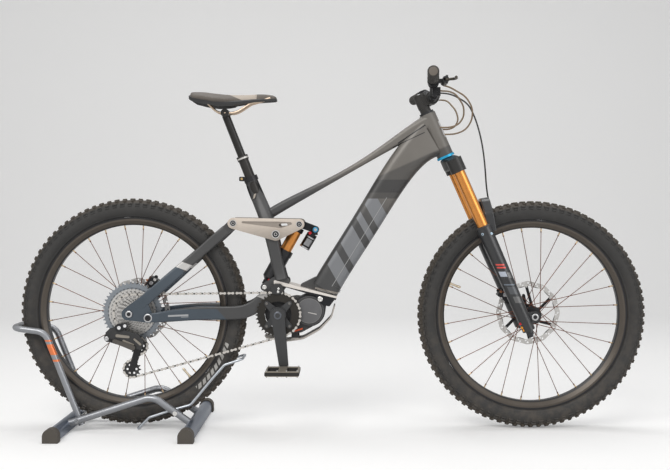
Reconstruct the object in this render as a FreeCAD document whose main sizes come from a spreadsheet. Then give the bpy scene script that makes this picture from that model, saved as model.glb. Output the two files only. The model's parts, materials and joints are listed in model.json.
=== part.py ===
"""A full-suspension electric mountain bicycle held by a rear-wheel display stand.

Frame of the model: millimetres, +Z up, the bicycle points along +X and its drive side
faces -Y. X is zero midway between the axles, Y is zero in the bicycle's middle plane and
Z is zero on the floor. Every driving size is a cell of the spreadsheet "Dims".
"""
import FreeCAD, Part
import math
import os

import Sketcher

Vector = FreeCAD.Vector
ORIGIN = Vector(0, 0, 0)
AXIS_X = Vector(1, 0, 0)
AXIS_Y = Vector(0, 1, 0)
AXIS_Z = Vector(0, 0, 1)
SIDES = (-1, 1)

SIZES = (
    ("wheelbase", 1250, "rear axle to front axle"),
    ("wheel_radius", 357, "axle to tread"),
    ("tyre_width", 71, "widest part of the tyre"),
    ("tyre_wall", 3.5, "thickness of the tyre casing"),
    ("rim_seat_radius", 292, "axle to the bead seat"),
    ("rim_width", 40, "outside of the rim flanges"),
    ("rim_depth", 19, "bead seat to the inner face of the rim"),
    ("rim_flange", 6, "height of the flange above the bead seat"),
    ("rim_wall", 3, "thickness of the rim wall"),
    ("spoke_count", 28, "spokes in a wheel"),
    ("spoke_radius", 1.1, "radius of a spoke"),
    ("hub_flange_radius", 29, "radius of a hub flange"),
    ("hub_barrel_radius", 17, "radius of a hub barrel"),
    ("axle_radius", 7.5, "radius of a through axle"),
    ("running_gap", 0.06, "radial gap of a turning fit"),
    ("front_hub_width", 110, "between the fork dropouts"),
    ("rear_hub_width", 148, "between the rear dropouts"),
    ("rotor_radius", 101.5, "outer radius of a brake rotor"),
    ("rotor_band", 17, "width of the braking band"),
    ("rotor_thickness", 1.9, "thickness of a rotor"),
    ("front_rotor_offset", 44.5, "middle plane to the front rotor"),
    ("rear_rotor_offset", 57, "middle plane to the rear rotor"),
    ("chain_pitch", 12.7, "roller to roller"),
    ("roller_radius", 3.8, "radius of a chain roller"),
    ("sprocket_thickness", 1.5, "thickness of a toothed wheel"),
    ("ring_teeth", 34, "teeth of the chainring"),
    ("pulley_teeth", 13, "teeth of a derailleur pulley"),
    ("chainring_offset", 52, "middle plane to the chainring"),
    ("smallest_cog_offset", 68.2, "middle plane to the smallest cog"),
    ("cog_spacing", 3.75, "cog to cog"),
    ("crank_x", -167, "crank axis, along the bicycle"),
    ("crank_z", 361, "crank axis above the floor"),
    ("crank_length", 165, "crank axis to pedal axis"),
    ("crank_lean", 6.6, "degrees by which the near crank points forward of down"),
    ("spindle_radius", 12, "radius of the crank spindle"),
    ("pedal_length", 104, "pedal platform along the bicycle"),
    ("pedal_width", 98, "pedal platform across the bicycle"),
    ("pedal_thickness", 15, "thickness of the pedal frame"),
    ("pedal_axle_radius", 5, "radius of the pedal axle"),
    ("left_pedal_turn", 72, "degrees by which the far pedal hangs turned"),
    ("head_angle", 66, "steering axis above the horizontal, in degrees"),
    ("fork_offset", 44, "steering axis to front axle"),
    ("fork_length", 561, "front axle to crown race along the steering axis"),
    ("head_length", 146, "length of the head tube"),
    ("head_radius", 26, "radius of the head tube"),
    ("steerer_radius", 14.3, "radius of the steerer"),
    ("leg_spacing", 134, "fork leg to fork leg"),
    ("leg_offset", 11, "steering axis to the plane of the fork legs"),
    ("stanchion_radius", 17.5, "radius of a fork stanchion"),
    ("stanchion_show", 186, "stanchion length in sight"),
    ("fork_travel", 150, "stroke of the fork"),
    ("crown_drop", 58, "crown race to the crown's lower face"),
    ("lower_leg_radius", 23.5, "outer radius of a fork lower leg at its top"),
    ("lower_leg_length", 348, "length of a fork lower leg"),
    ("seat_clamp_x", -256, "seat tube top, along the bicycle"),
    ("seat_clamp_z", 784, "seat tube top above the floor"),
    ("seat_bend_x", -212, "seat tube at the rocker, along the bicycle"),
    ("seat_bend_z", 672, "seat tube at the rocker, above the floor"),
    ("seat_tube_radius", 19, "outer radius of the seat tube"),
    ("post_outer_radius", 15.8, "radius of the seatpost's outer tube"),
    ("post_inner_radius", 12.5, "radius of the seatpost's inner tube"),
    ("post_outer_show", 76, "outer seatpost tube above the seat tube"),
    ("post_outer_sunk", 100, "outer seatpost tube inside the seat tube"),
    ("post_inner_show", 137, "inner seatpost tube in sight"),
    ("dropper_travel", 125, "stroke of the seatpost"),
    ("seat_height", 1050, "top of the saddle above the floor"),
    ("saddle_length", 276, "nose to tail"),
    ("saddle_width", 144, "widest part of the saddle"),
    ("saddle_nose_x", -169, "saddle nose, along the bicycle"),
    ("bar_half_width", 385, "middle plane to a bar end"),
    ("bar_radius", 11.1, "radius of the handlebar at the grips"),
    ("bar_clamp_radius", 15.9, "radius of the handlebar at the stem"),
    ("bar_rise", 33, "bar ends above the clamp"),
    ("bar_sweep", 30, "bar ends behind the clamp"),
    ("grip_radius", 16, "radius of a grip"),
    ("grip_length", 130, "length of a grip"),
    ("stem_length", 34, "steering axis to the handlebar"),
    ("stem_height", 186, "crown race to the stem's middle, along the steering axis"),
    ("main_pivot_x", -168, "swingarm pivot, along the bicycle"),
    ("main_pivot_z", 436, "swingarm pivot above the floor"),
    ("horst_x", -565, "rear stay pivot, along the bicycle"),
    ("horst_z", 354, "rear stay pivot above the floor"),
    ("rocker_pivot_x", -174, "rocker pivot, along the bicycle"),
    ("rocker_pivot_z", 611, "rocker pivot above the floor"),
    ("rocker_rear_x", -306, "rocker to seat stay, along the bicycle"),
    ("rocker_rear_z", 645, "rocker to seat stay, above the floor"),
    ("rocker_front_x", -101, "rocker to shock, along the bicycle"),
    ("rocker_front_z", 642, "rocker to shock, above the floor"),
    ("shock_eye_x", -211, "lower shock eye, along the bicycle"),
    ("shock_eye_z", 445, "lower shock eye above the floor"),
    ("rocker_inside", 47.5, "middle plane to a rocker plate"),
    ("rocker_plate", 10, "thickness of a rocker plate"),
    ("motor_x", -71, "motor cover centre, along the bicycle"),
    ("motor_z", 372, "motor cover centre above the floor"),
    ("motor_radius", 50, "radius of the motor housing"),
    ("motor_half_width", 37, "middle plane to the motor housing's side"),
    ("down_tube_depth", 86, "depth of the down tube"),
    ("down_tube_width", 76, "width of the down tube"),
    ("frame_wall", 3, "wall of the down tube"),
    ("cover_offset", 14, "down tube's middle line to the battery cover's edge"),
    ("seam_gap", 0.4, "gap between separate covers"),
    ("foot_rear_x", -828, "rear foot bar, along the bicycle"),
    ("foot_front_x", -429, "front foot bar, along the bicycle"),
    ("foot_half_length", 228, "middle plane to a foot bar's end"),
    ("foot_width", 38, "width of a foot bar"),
    ("foot_height", 35, "height of a foot bar"),
    ("foot_wall", 2, "wall of a foot bar"),
    ("cap_wall", 4, "rubber around a foot bar's end"),
    ("cap_length", 30, "length of an end cap"),
    ("side_tube_y", 78, "middle plane to a side tube"),
    ("side_tube_radius", 11, "radius of a side tube"),
    ("side_peak_x", -554, "highest bend of a side tube, along the bicycle"),
    ("side_peak_z", 110, "highest bend of a side tube above the floor"),
    ("hoop_pivot_x", -787, "hoop hinge, along the bicycle"),
    ("hoop_radius", 10, "radius of the hoop tube"),
    ("hoop_top_z", 318, "hoop's crossbar above the floor"),
    ("cradle_rod_radius", 4, "radius of the cradle rod"),
    ("cradle_pivot_x", -483, "cradle hinge, along the bicycle"),
    ("stand_bolt_radius", 4, "radius of the stand's bolts"),
)

doc = FreeCAD.newDocument("BicycleOnStand")
sheet = doc.addObject("Spreadsheet::Sheet", "Dims")
for row, (alias, value, meaning) in enumerate(SIZES, start=1):
    sheet.set(f"A{row}", meaning)
    sheet.set(f"B{row}", str(value))
    sheet.setAlias(f"B{row}", alias)
doc.recompute()

parts = []


class Dimensions:
    """Reads a size of the sheet by its alias."""

    def __getattr__(self, alias):
        return float(sheet.get(alias))


dim = Dimensions()


# ---------------------------------------------------------------- document objects

def keep(label, thing):
    """Names an object of the document after the sub-part that it is."""
    thing.Label = label
    parts.append(thing)
    return thing


def keep_shape(label, shape, place=ORIGIN):
    """Keeps a shape made with Part's functions as a sub-part at its place."""
    feature = doc.addObject("Part::Feature", label)
    feature.Shape = shape
    feature.Placement.Base = place
    return keep(label, feature)


def made(label):
    """The shape of a sub-part that is already there."""
    return next(item.Shape for item in parts if item.Label == label)


def largest(shape):
    """The largest solid of a shape, which leaves off the crumbs of a cut."""
    return max(shape.Solids, key=lambda solid: solid.Volume)


def origin_plane(body, role):
    return next(item for item in body.Origin.OriginFeatures if item.Role == role)


def bind(thing, **expressions):
    """Ties properties to cells; double underscores stand for the dots of a path."""
    for path, expression in expressions.items():
        thing.setExpression(path.replace("__", "."), expression)


def bound_value(expression):
    return float(sheet.evalExpression(expression))


def sketch_arc(start, middle, end):
    """An anticlockwise arc for a sketch, and whether it runs from start to end."""
    curve = Part.Arc(start, middle, end).toShape().Curve
    leftward = (middle - start).cross(end - middle).z > 0
    first, last = (start, end) if leftward else (end, start)
    angles = [math.atan2(item.y - curve.Center.y, item.x - curve.Center.x)
              for item in (first, last)]
    circle = Part.Circle(curve.Center, AXIS_Z, curve.Radius)
    return Part.ArcOfCircle(circle, angles[0], angles[1]), leftward


def sketch_loop(sketch, corners):
    """Draws a closed outline whose corners are pairs of expressions.

    A corner with two more expressions is left along an arc through that point.
    """
    first = sketch.GeometryCount
    count = len(corners)
    values = [[bound_value(item) for item in corner] for corner in corners]
    joints = []
    for index, corner in enumerate(values):
        start = Vector(corner[0], corner[1], 0)
        following = values[(index + 1) % count]
        end = Vector(following[0], following[1], 0)
        if len(corner) == 2:
            sketch.addGeometry(Part.LineSegment(start, end), False)
            joints.append((1, 2))
            continue
        arc, leftward = sketch_arc(start, Vector(corner[2], corner[3], 0), end)
        sketch.addGeometry(arc, False)
        joints.append((1, 2) if leftward else (2, 1))
    for index in range(count):
        nearest = (index + 1) % count
        sketch.addConstraint(Sketcher.Constraint(
            "Coincident", first + index, joints[index][1], first + nearest, joints[nearest][0]))
    for index, corner in enumerate(corners):
        pin_point(sketch, first + index, joints[index][0], corner[:2], values[index][:2])
    for index, corner in enumerate(corners):
        if len(corner) == 4:
            marker = sketch.addGeometry(
                Part.Point(Vector(values[index][2], values[index][3], 0)), True)
            pin_point(sketch, marker, 1, corner[2:], values[index][2:])
            sketch.addConstraint(Sketcher.Constraint(
                "PointOnObject", marker, 1, first + index))


def pin_point(sketch, geometry, end, expressions, values):
    """Holds a sketch point at the two bound distances from the sketch's origin."""
    for kind, expression, value in zip(("DistanceX", "DistanceY"), expressions, values):
        if abs(value) < 1e-9:
            axis = -2 if kind == "DistanceX" else -1
            sketch.addConstraint(Sketcher.Constraint("PointOnObject", geometry, end, axis))
            continue
        number = sketch.addConstraint(Sketcher.Constraint(kind, -1, 1, geometry, end, value))
        sketch.setExpression(f"Constraints[{number}]", expression)


def body_with_sketch(label, role, *loops):
    body = doc.addObject("PartDesign::Body", label)
    sketch = body.newObject("Sketcher::SketchObject", f"{label}_outline")
    sketch.AttachmentSupport = (origin_plane(body, role), [""])
    sketch.MapMode = "FlatFace"
    for corners in loops:
        sketch_loop(sketch, corners)
    return body, sketch


def turned(label, *loops, centre=("0", "0", "0")):
    """A part of revolution about the Y direction; outline points are (radius, y)."""
    body, sketch = body_with_sketch(label, "XY_Plane", *loops)
    turn = body.newObject("PartDesign::Revolution", f"{label}_turn")
    turn.Profile = sketch
    turn.ReferenceAxis = (sketch, ["V_Axis"])
    turn.Angle = 360
    place(body, centre)
    return keep(label, body)


def extruded(label, length, *loops, centre=("0", "0", "0")):
    """A part with one outline in X and Z and an even thickness in Y."""
    body, sketch = body_with_sketch(label, "XZ_Plane", *loops)
    pad = body.newObject("PartDesign::Pad", f"{label}_pad")
    pad.Profile = sketch
    pad.SideType = "Symmetric"
    pad.setExpression("Length", length)
    place(body, centre)
    return body


def place(thing, centre):
    bind(thing, Placement__Base__x=centre[0], Placement__Base__y=centre[1],
         Placement__Base__z=centre[2])


# ---------------------------------------------------------------- plain geometry

def polar(centre, radius, degrees, y=0.0):
    angle = math.radians(degrees)
    return Vector(centre.x + radius * math.cos(angle), y, centre.z + radius * math.sin(angle))


def cylinder(start, end, radius):
    along = end - start
    return Part.makeCylinder(radius, along.Length, start, along)


def cross_pin(centre, radius, y_from, y_to):
    """A round bar across the bicycle through a point of its side view."""
    return Part.makeCylinder(radius, y_to - y_from, Vector(centre.x, y_from, centre.z), AXIS_Y)


def cross_tube(centre, radius, bore, y_from, y_to):
    return cross_pin(centre, radius, y_from, y_to).cut(cross_pin(centre, bore, y_from, y_to))


def both_sides(shape):
    """The shape and its mirror image in the bicycle's middle plane."""
    return [shape, shape.mirror(ORIGIN, AXIS_Y)]


def fused(shapes):
    first, *others = shapes
    return first.multiFuse(others).removeSplitter()


def rounded_edges(points, radii, closed=False):
    """Straight runs joined by tangent arcs; radii is one number or one per corner."""
    count = len(points)
    radii = radii if isinstance(radii, (list, tuple)) else [radii] * count
    edges = []
    corners = range(count) if closed else range(1, count - 1)
    cuts = {}
    for index in corners:
        before = (points[index] - points[index - 1]).normalize()
        after = (points[(index + 1) % count] - points[index]).normalize()
        turn = before.getAngle(after)
        if turn < 1e-6 or radii[index] <= 0:
            continue
        reach = radii[index] * math.tan(turn / 2)
        inward = (after - before).normalize()
        middle = points[index] + inward * (radii[index] / math.cos(turn / 2) - radii[index])
        cuts[index] = (points[index] - before * reach, middle, points[index] + after * reach)
    for index in range(count if closed else count - 1):
        following = (index + 1) % count
        start = cuts[index][2] if index in cuts else points[index]
        end = cuts[following][0] if following in cuts else points[following]
        if start.distanceToPoint(end) > 1e-6:
            edges.append(Part.makeLine(start, end))
        if following in cuts:
            edges.append(Part.Arc(*cuts[following]).toShape())
    return edges


def swept_tube(points, bend_radius, radius, bore=0.0):
    """A round tube along straight runs joined by tangent arcs."""
    edges = rounded_edges(points, bend_radius)
    path = Part.Wire(Part.__sortEdges__(edges))
    direction = points[1] - points[0]
    outer = Part.Wire(Part.makeCircle(radius, points[0], direction))
    tube = path.makePipeShell([outer], True, True)
    if bore > 0:
        inner = Part.Wire(Part.makeCircle(bore, points[0], direction))
        tube = tube.cut(path.makePipeShell([inner], True, True))
    return tube


def side_plate(edges, y_from, y_to):
    """An outline drawn at y = 0, given a thickness across the bicycle."""
    face = Part.Face(Part.Wire(Part.__sortEdges__(edges)))
    face.translate(Vector(0, y_from, 0))
    return face.extrude(Vector(0, y_to - y_from, 0))


def corner_plate(corners, radii, y_from, y_to):
    points = [Vector(x, 0, z) for x, z in corners]
    return side_plate(rounded_edges(points, radii, closed=True), y_from, y_to)


def heading_vector(heading):
    return Vector(math.cos(heading), 0, math.sin(heading))


def tangent_heading(circle, following):
    """Heading of the straight run from one circle of a belt to the next.

    A circle is (centre, radius, sense), with sense 1 where the belt runs clockwise.
    """
    (centre, radius, sense), (centre_2, radius_2, sense_2) = circle[:3], following[:3]
    gap = centre_2 - centre
    return math.atan2(gap.z, gap.x) + math.asin((sense_2 * radius_2 - sense * radius) / gap.Length)


def rim_point(circle, heading):
    centre, radius, sense = circle[:3]
    return centre - Vector(math.sin(heading), 0, -math.cos(heading)) * (sense * radius)


def hull_plate(circles, y_from, y_to):
    """A plate whose outline is a belt round circles given clockwise as (x, z, radius)."""
    belt = [(Vector(x, 0, z), radius, 1) for x, z, radius in circles]
    count = len(belt)
    headings = [tangent_heading(belt[i], belt[(i + 1) % count]) for i in range(count)]
    edges = []
    for index in range(count):
        following = (index + 1) % count
        start = rim_point(belt[index], headings[index])
        end = rim_point(belt[following], headings[index])
        edges.append(Part.makeLine(start, end))
        wrap = (headings[index] - headings[following]) % (2 * math.pi)
        middle = rim_point(belt[following], headings[index] - wrap / 2)
        leave = rim_point(belt[following], headings[following])
        edges.append(Part.Arc(end, middle, leave).toShape())
    return side_plate(edges, y_from, y_to)


def box_section(centre, heading, depth, width, corner):
    """A rounded rectangle square to a heading in the side view."""
    along = heading_vector(heading)
    upward = Vector(-along.z, 0, along.x)
    points = [centre + upward * (depth / 2 * u) + AXIS_Y * (width / 2 * v)
              for u, v in ((-1, -1), (1, -1), (1, 1), (-1, 1))]
    return Part.Wire(Part.__sortEdges__(rounded_edges(points, corner, closed=True)))


def box_loft(stations, inset=0.0):
    """A solid through stations (x, y, z, heading in degrees, depth, width, corner)."""
    wires = [box_section(Vector(x, y, z), math.radians(heading), depth - 2 * inset,
                         width - 2 * inset, max(corner - inset, 1.0))
             for x, y, z, heading, depth, width, corner in stations]
    return solid_loft(wires)


def solid_loft(wires, ruled=False):
    """A loft with its faces outward, whichever way its sections run."""
    solid = Part.makeLoft(wires, True, ruled)
    if solid.Volume < 0:
        solid.reverse()
    return solid


# ---------------------------------------------------------------- skeleton

REAR_AXLE = ("-Dims.wheelbase / 2", "0", "Dims.wheel_radius + 2 * Dims.cradle_rod_radius + 0.4")
FRONT_AXLE = ("Dims.wheelbase / 2", "0", "Dims.wheel_radius")

rear_axle = Vector(*[bound_value(item) for item in REAR_AXLE])
front_axle = Vector(*[bound_value(item) for item in FRONT_AXLE])
crank_axis = Vector(dim.crank_x, 0, dim.crank_z)
main_pivot = Vector(dim.main_pivot_x, 0, dim.main_pivot_z)
horst_pivot = Vector(dim.horst_x, 0, dim.horst_z)
rocker_pivot = Vector(dim.rocker_pivot_x, 0, dim.rocker_pivot_z)
rocker_rear = Vector(dim.rocker_rear_x, 0, dim.rocker_rear_z)
rocker_front = Vector(dim.rocker_front_x, 0, dim.rocker_front_z)
shock_eye = Vector(dim.shock_eye_x, 0, dim.shock_eye_z)
motor_axis = Vector(dim.motor_x, 0, dim.motor_z)

steer_down = Vector(math.cos(math.radians(dim.head_angle)), 0,
                    -math.sin(math.radians(dim.head_angle)))
steer_forward = Vector(-steer_down.z, 0, steer_down.x)
crown_race = front_axle - steer_forward * dim.fork_offset - steer_down * dim.fork_length


def on_steer(along, ahead=0.0, y=0.0):
    """A point by its distance below the crown race, ahead of the steering axis and y."""
    return crown_race + steer_down * along + steer_forward * ahead + AXIS_Y * y


def toward(start, end, share):
    return start + (end - start) * share


def heading_of(start, end):
    return math.degrees(math.atan2(end.z - start.z, end.x - start.x))


# ---------------------------------------------------------------- wheels

def tyre(label, centre):
    """A casing with an open foot that sits on both bead seats of the rim."""
    seat = "(Dims.rim_seat_radius + 0.3)"
    bead = "(Dims.rim_width / 2 - Dims.rim_wall - 0.3)"
    foot = "(Dims.rim_width / 2 - Dims.rim_wall - 0.3 - 1.5 * Dims.tyre_wall)"
    half = "(Dims.tyre_width / 2)"
    lip = "(Dims.rim_seat_radius + Dims.rim_flange + 0.4)"
    shoulder = "(Dims.wheel_radius - 14)"
    belly = "((Dims.rim_seat_radius + Dims.wheel_radius) / 2 + 2)"
    return turned(label, (
        (seat, f"-{bead}"),
        (lip, f"-{bead}", belly, f"-{half}"),
        (shoulder, f"4 - {half}", "Dims.wheel_radius", "0"),
        (shoulder, f"{half} - 4", belly, half),
        (lip, bead),
        (seat, bead),
        (seat, foot),
        (lip, foot, belly, f"{half} - Dims.tyre_wall"),
        (f"{shoulder} - Dims.tyre_wall", f"{half} - 4 - Dims.tyre_wall",
         "Dims.wheel_radius - 2 * Dims.tyre_wall", "0"),
        (f"{shoulder} - Dims.tyre_wall", f"4 + Dims.tyre_wall - {half}",
         belly, f"Dims.tyre_wall - {half}"),
        (lip, f"-{foot}"),
        (seat, f"-{foot}"),
    ), centre=centre)


def rim(label, centre):
    half = "Dims.rim_width / 2"
    inner = "(Dims.rim_seat_radius - Dims.rim_depth)"
    right = (
        (inner, "9"),
        ("Dims.rim_seat_radius - 5", half),
        ("Dims.rim_seat_radius + Dims.rim_flange", half),
        ("Dims.rim_seat_radius + Dims.rim_flange", f"{half} - Dims.rim_wall"),
        ("Dims.rim_seat_radius", f"{half} - Dims.rim_wall"),
        ("Dims.rim_seat_radius", f"{half} - Dims.rim_wall - 8"),
        (f"{inner} + Dims.rim_wall", "6"),
    )
    left = tuple((radius, f"-({y})") for radius, y in reversed(right))
    return turned(label, right + left, centre=centre)


def hub(label, centre, stations):
    """A bored barrel; stations are (radius, from y, to y) from one end to the other."""
    bore = "Dims.axle_radius + Dims.running_gap"
    corners = [(bore, stations[0][1])]
    for radius, low, high in stations:
        corners += [(radius, low), (radius, high)]
    corners.append((bore, stations[-1][2]))
    return turned(label, tuple(corners), centre=centre)


def spokes(label, centre, flange_y):
    """Crossed spokes with their nipples, alternating between the two flanges."""
    count = int(round(dim.spoke_count / 4.0)) * 4
    rim_radius = dim.rim_seat_radius - dim.rim_depth - 0.2
    flange_radius = dim.hub_flange_radius - 3.5
    solids = []
    for index in range(count):
        side = index % 2
        lean = 1 if index % 4 < 2 else -1
        outermost = lean == (1 if side else -1)
        beside = 1.6 + dim.spoke_radius + (1.25 if outermost else 0.05)
        rim_angle = 360.0 * (index + 0.5) / count
        hub_angle = rim_angle + lean * 62
        start = polar(ORIGIN, flange_radius, hub_angle, flange_y[side] + lean * beside)
        end = polar(ORIGIN, rim_radius, rim_angle, 3.0 if side else -3.0)
        direction = (end - start).normalize()
        nipple = cylinder(end - direction * 13, end, 2.2)
        solids.append(cylinder(start, end - direction * 12, dim.spoke_radius).fuse(nipple))
    return keep_shape(label, Part.makeCompound(solids), centre)


def wave_wire(radius, swing, waves, y):
    """A closed smooth curve that waves about a circle."""
    count = waves * 8
    points = []
    for index in range(count):
        angle = 360.0 * index / count
        reach = radius + swing * math.cos(math.radians(angle * waves))
        points.append(polar(ORIGIN, reach, angle, y))
    curve = Part.BSplineCurve()
    curve.interpolate(Points=points, PeriodicFlag=True)
    return Part.Wire(curve.toShape())


def ring_wire(radius, y, centre=ORIGIN):
    return Part.Wire(Part.makeCircle(radius, Vector(centre.x, y, centre.z), AXIS_Y))


def rotor(label, centre, offset, seat_radius):
    """A waved and slotted braking band on arms round a centre ring."""
    low = offset - dim.rotor_thickness / 2
    band_inner = dim.rotor_radius - dim.rotor_band
    wires = [wave_wire(dim.rotor_radius - 1.5, 1.5, 12, low), wave_wire(band_inner, 1.5, 12, low)]
    slots = 24
    for index in range(slots):
        angle = 360.0 * (index + 0.5) / slots
        for share, radius in ((0.3, 2.6), (0.62, 3.1)):
            spot = polar(ORIGIN, band_inner + dim.rotor_band * share, angle + 12 * share)
            wires.append(ring_wire(radius, low, spot))
    band = Part.makeFace(wires, "Part::FaceMakerBullseye")
    solids = [band.extrude(Vector(0, dim.rotor_thickness, 0))]
    arms = 6
    centre_ring = cross_tube(ORIGIN, seat_radius + 9, seat_radius, low, low + dim.rotor_thickness)
    for index in range(arms):
        angle = 360.0 * index / arms
        foot = polar(ORIGIN, seat_radius + 5, angle)
        tip = polar(ORIGIN, band_inner + 2, angle + 34)
        solids.append(hull_plate([(tip.x, tip.z, 4.5), (foot.x, foot.z, 4.5)],
                                 low, low + dim.rotor_thickness))
    arm_set = centre_ring.multiFuse(solids[1:])
    return keep_shape(label, solids[0].fuse(arm_set), centre)


def wheels():
    front_flange, rear_flanges = 27.0, (-19.0, 33.0)
    for prefix, centre in (("rear", REAR_AXLE), ("front", FRONT_AXLE)):
        tyre(f"{prefix}_tyre", centre)
        rim(f"{prefix}_rim", centre)
    flange = "Dims.hub_flange_radius"
    barrel = "Dims.hub_barrel_radius"
    hub("front_hub", FRONT_AXLE, (
        ("11", "-Dims.front_hub_width / 2", "-36"), ("15", "-36", "-28.6"),
        (flange, "-28.6", "-25.4"), (barrel, "-25.4", "25.4"), (flange, "25.4", "28.6"),
        ("20", "28.6", "Dims.front_rotor_offset + 3"),
        ("11", "Dims.front_rotor_offset + 3", "Dims.front_hub_width / 2")))
    hub("rear_hub", REAR_AXLE, (
        ("10", "-Dims.rear_hub_width / 2", "-27"), ("16", "-27", "-20.6"),
        (flange, "-20.6", "-17.4"), (barrel, "-17.4", "31.4"), (flange, "31.4", "34.6"),
        ("20", "34.6", "Dims.rear_rotor_offset + 3"),
        ("11", "Dims.rear_rotor_offset + 3", "Dims.rear_hub_width / 2")))
    spokes("front_spokes", front_axle, (-front_flange, front_flange))
    spokes("rear_spokes", rear_axle, rear_flanges)
    rotor("front_rotor", front_axle, dim.front_rotor_offset, 20.05)
    rotor("rear_rotor", rear_axle, dim.rear_rotor_offset, 20.05)


# ---------------------------------------------------------------- drivetrain

COG_TEETH = (11, 13, 15, 17, 19, 21, 24, 28, 32, 37, 46)
WORKING_COG = 7


def pitch_radius(teeth):
    return dim.chain_pitch / (2 * math.sin(math.pi / teeth))


def toothed_wire(teeth, phase, y):
    """Outline of a sprocket; phase is the angle in degrees of one gap's middle."""
    pitch = pitch_radius(teeth)
    root = pitch - dim.roller_radius - 0.25
    tip = pitch + 2.4
    points = []
    for index in range(teeth):
        angle = phase + 360.0 * (index + 0.5) / teeth
        for radius, half in ((root, -3.5), (tip, -1.0), (tip, 1.0), (root, 3.5)):
            points.append(polar(ORIGIN, radius, angle + math.degrees(half / radius), y))
    return Part.makePolygon(points + points[:1])


def sprocket(teeth, phase, y, holes):
    """A toothed plate; holes are wires drawn at y on its near face."""
    near = y - dim.sprocket_thickness / 2
    face = Part.makeFace([toothed_wire(teeth, phase, near)] + holes(near),
                         "Part::FaceMakerBullseye")
    return face.extrude(Vector(0, dim.sprocket_thickness, 0))


def cog_offset(index):
    return -dim.smallest_cog_offset + dim.cog_spacing * index


def derailleur_points(cage_angle):
    """Axes of the guide pulley and of the tension pulley."""
    guide = rear_axle + Vector(22, 0, -104)
    return guide, polar(guide, 76, cage_angle)


def chain_belt(cage_angle):
    """Circles round which the chain runs, in its order of travel, with their y."""
    guide, tension = derailleur_points(cage_angle)
    pulley = pitch_radius(dim.pulley_teeth)
    cog_y = cog_offset(WORKING_COG)
    return (
        (crank_axis, pitch_radius(dim.ring_teeth), 1, -dim.chainring_offset, dim.ring_teeth),
        (tension, pulley, 1, cog_y, dim.pulley_teeth),
        (guide, pulley, -1, cog_y, dim.pulley_teeth),
        (rear_axle, pitch_radius(COG_TEETH[WORKING_COG]), 1, cog_y, COG_TEETH[WORKING_COG]),
    )


def belt_stretches(belt):
    """Each arc and the straight run after it, measured in chain pitches."""
    count = len(belt)
    headings = [tangent_heading(belt[i], belt[(i + 1) % count]) for i in range(count)]
    stretches = []
    for index, circle in enumerate(belt):
        arriving, leaving = headings[index - 1], headings[index]
        wrap = (circle[2] * (arriving - leaving)) % (2 * math.pi)
        following = belt[(index + 1) % count]
        run = (rim_point(following, leaving) - rim_point(circle, leaving)).Length
        run = math.hypot(run, following[3] - circle[3])
        pitches = (wrap * circle[4] / (2 * math.pi), run / dim.chain_pitch)
        stretches.append((circle, following, arriving, leaving, wrap, pitches))
    return stretches


def belt_pitches(cage_angle):
    return sum(sum(item[5]) for item in belt_stretches(chain_belt(cage_angle)))


def solved_cage_angle():
    """The cage angle near its rest at which the chain has a whole, even number of links."""
    relaxed, tight = -75.0, -150.0
    wanted = 2 * round(belt_pitches(-103.0) / 2)
    for _ in range(60):
        middle = (relaxed + tight) / 2
        if (belt_pitches(middle) - wanted) * (belt_pitches(tight) - wanted) > 0:
            tight = middle
        else:
            relaxed = middle
    return (relaxed + tight) / 2, wanted


cage_angle, chain_links = solved_cage_angle()
guide_axis, tension_axis = derailleur_points(cage_angle)


def roller_places():
    """Every roller's place along the chain, one pitch apart."""
    stretches = belt_stretches(chain_belt(cage_angle))
    places = []
    spot = 0.0
    for circle, following, arriving, leaving, wrap, (arc_pitches, run_pitches) in stretches:
        while spot < arc_pitches - 1e-9:
            heading = arriving - circle[2] * wrap * spot / arc_pitches
            places.append(rim_point(circle, heading) + AXIS_Y * circle[3])
            spot += 1.0
        spot -= arc_pitches
        start = rim_point(circle, leaving) + AXIS_Y * circle[3]
        end = rim_point(following, leaving) + AXIS_Y * following[3]
        while spot < run_pitches - 1e-9:
            places.append(toward(start, end, spot / run_pitches))
            spot += 1.0
        spot -= run_pitches
    return places[:chain_links]


rollers = roller_places()


def gap_angle(centre, radius):
    """Angle of a roller that lies on a sprocket, so that the teeth fit round the chain."""
    lying = [item for item in rollers
             if abs(math.hypot(item.x - centre.x, item.z - centre.z) - radius) < 0.02]
    middle = lying[len(lying) // 2]
    return math.degrees(math.atan2(middle.z - centre.z, middle.x - centre.x))


def link_plates(y_from, y_to, reach):
    """Two waisted side plates of a chain link that lies along X."""
    plates = []
    for side in SIDES:
        low, high = sorted((side * y_from, side * y_to))
        ends = [cross_pin(Vector(x, 0, 0), reach, low, high) for x in (0, dim.chain_pitch)]
        waist = Part.makeBox(dim.chain_pitch, high - low, reach * 1.2,
                             Vector(0, low, -reach * 0.6))
        plates.append(ends[0].multiFuse([ends[1], waist]))
    return plates


def chain():
    """Inner and outer links in turn, each laid from one roller to the next."""
    ends = (ORIGIN, Vector(dim.chain_pitch, 0, 0))
    pin_radius = 1.7
    bores = [cross_pin(end, pin_radius + 0.1, -4, 4) for end in ends]
    bushes = [cross_pin(end, dim.roller_radius, -1.38, 1.38) for end in ends]
    inner = link_plates(1.34, 1.82, 4.1)
    inner_link = inner[0].multiFuse([inner[1]] + bushes).cut(Part.makeCompound(bores))
    outer = link_plates(1.9, 2.4, 4.0)
    pins = [cross_pin(end, pin_radius, -2.6, 2.6) for end in ends]
    outer_link = outer[0].multiFuse([outer[1]] + pins)
    links = []
    for index, start in enumerate(rollers):
        end = rollers[(index + 1) % len(rollers)]
        link = (inner_link if index % 2 else outer_link).copy()
        direction = (end - start).normalize()
        turn = FreeCAD.Rotation(direction, AXIS_Y, AXIS_Y.cross(direction) * -1, "XYZ")
        link.Placement = FreeCAD.Placement(start, turn)
        links.append(link)
    keep_shape("chain", Part.makeCompound(links))


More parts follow.
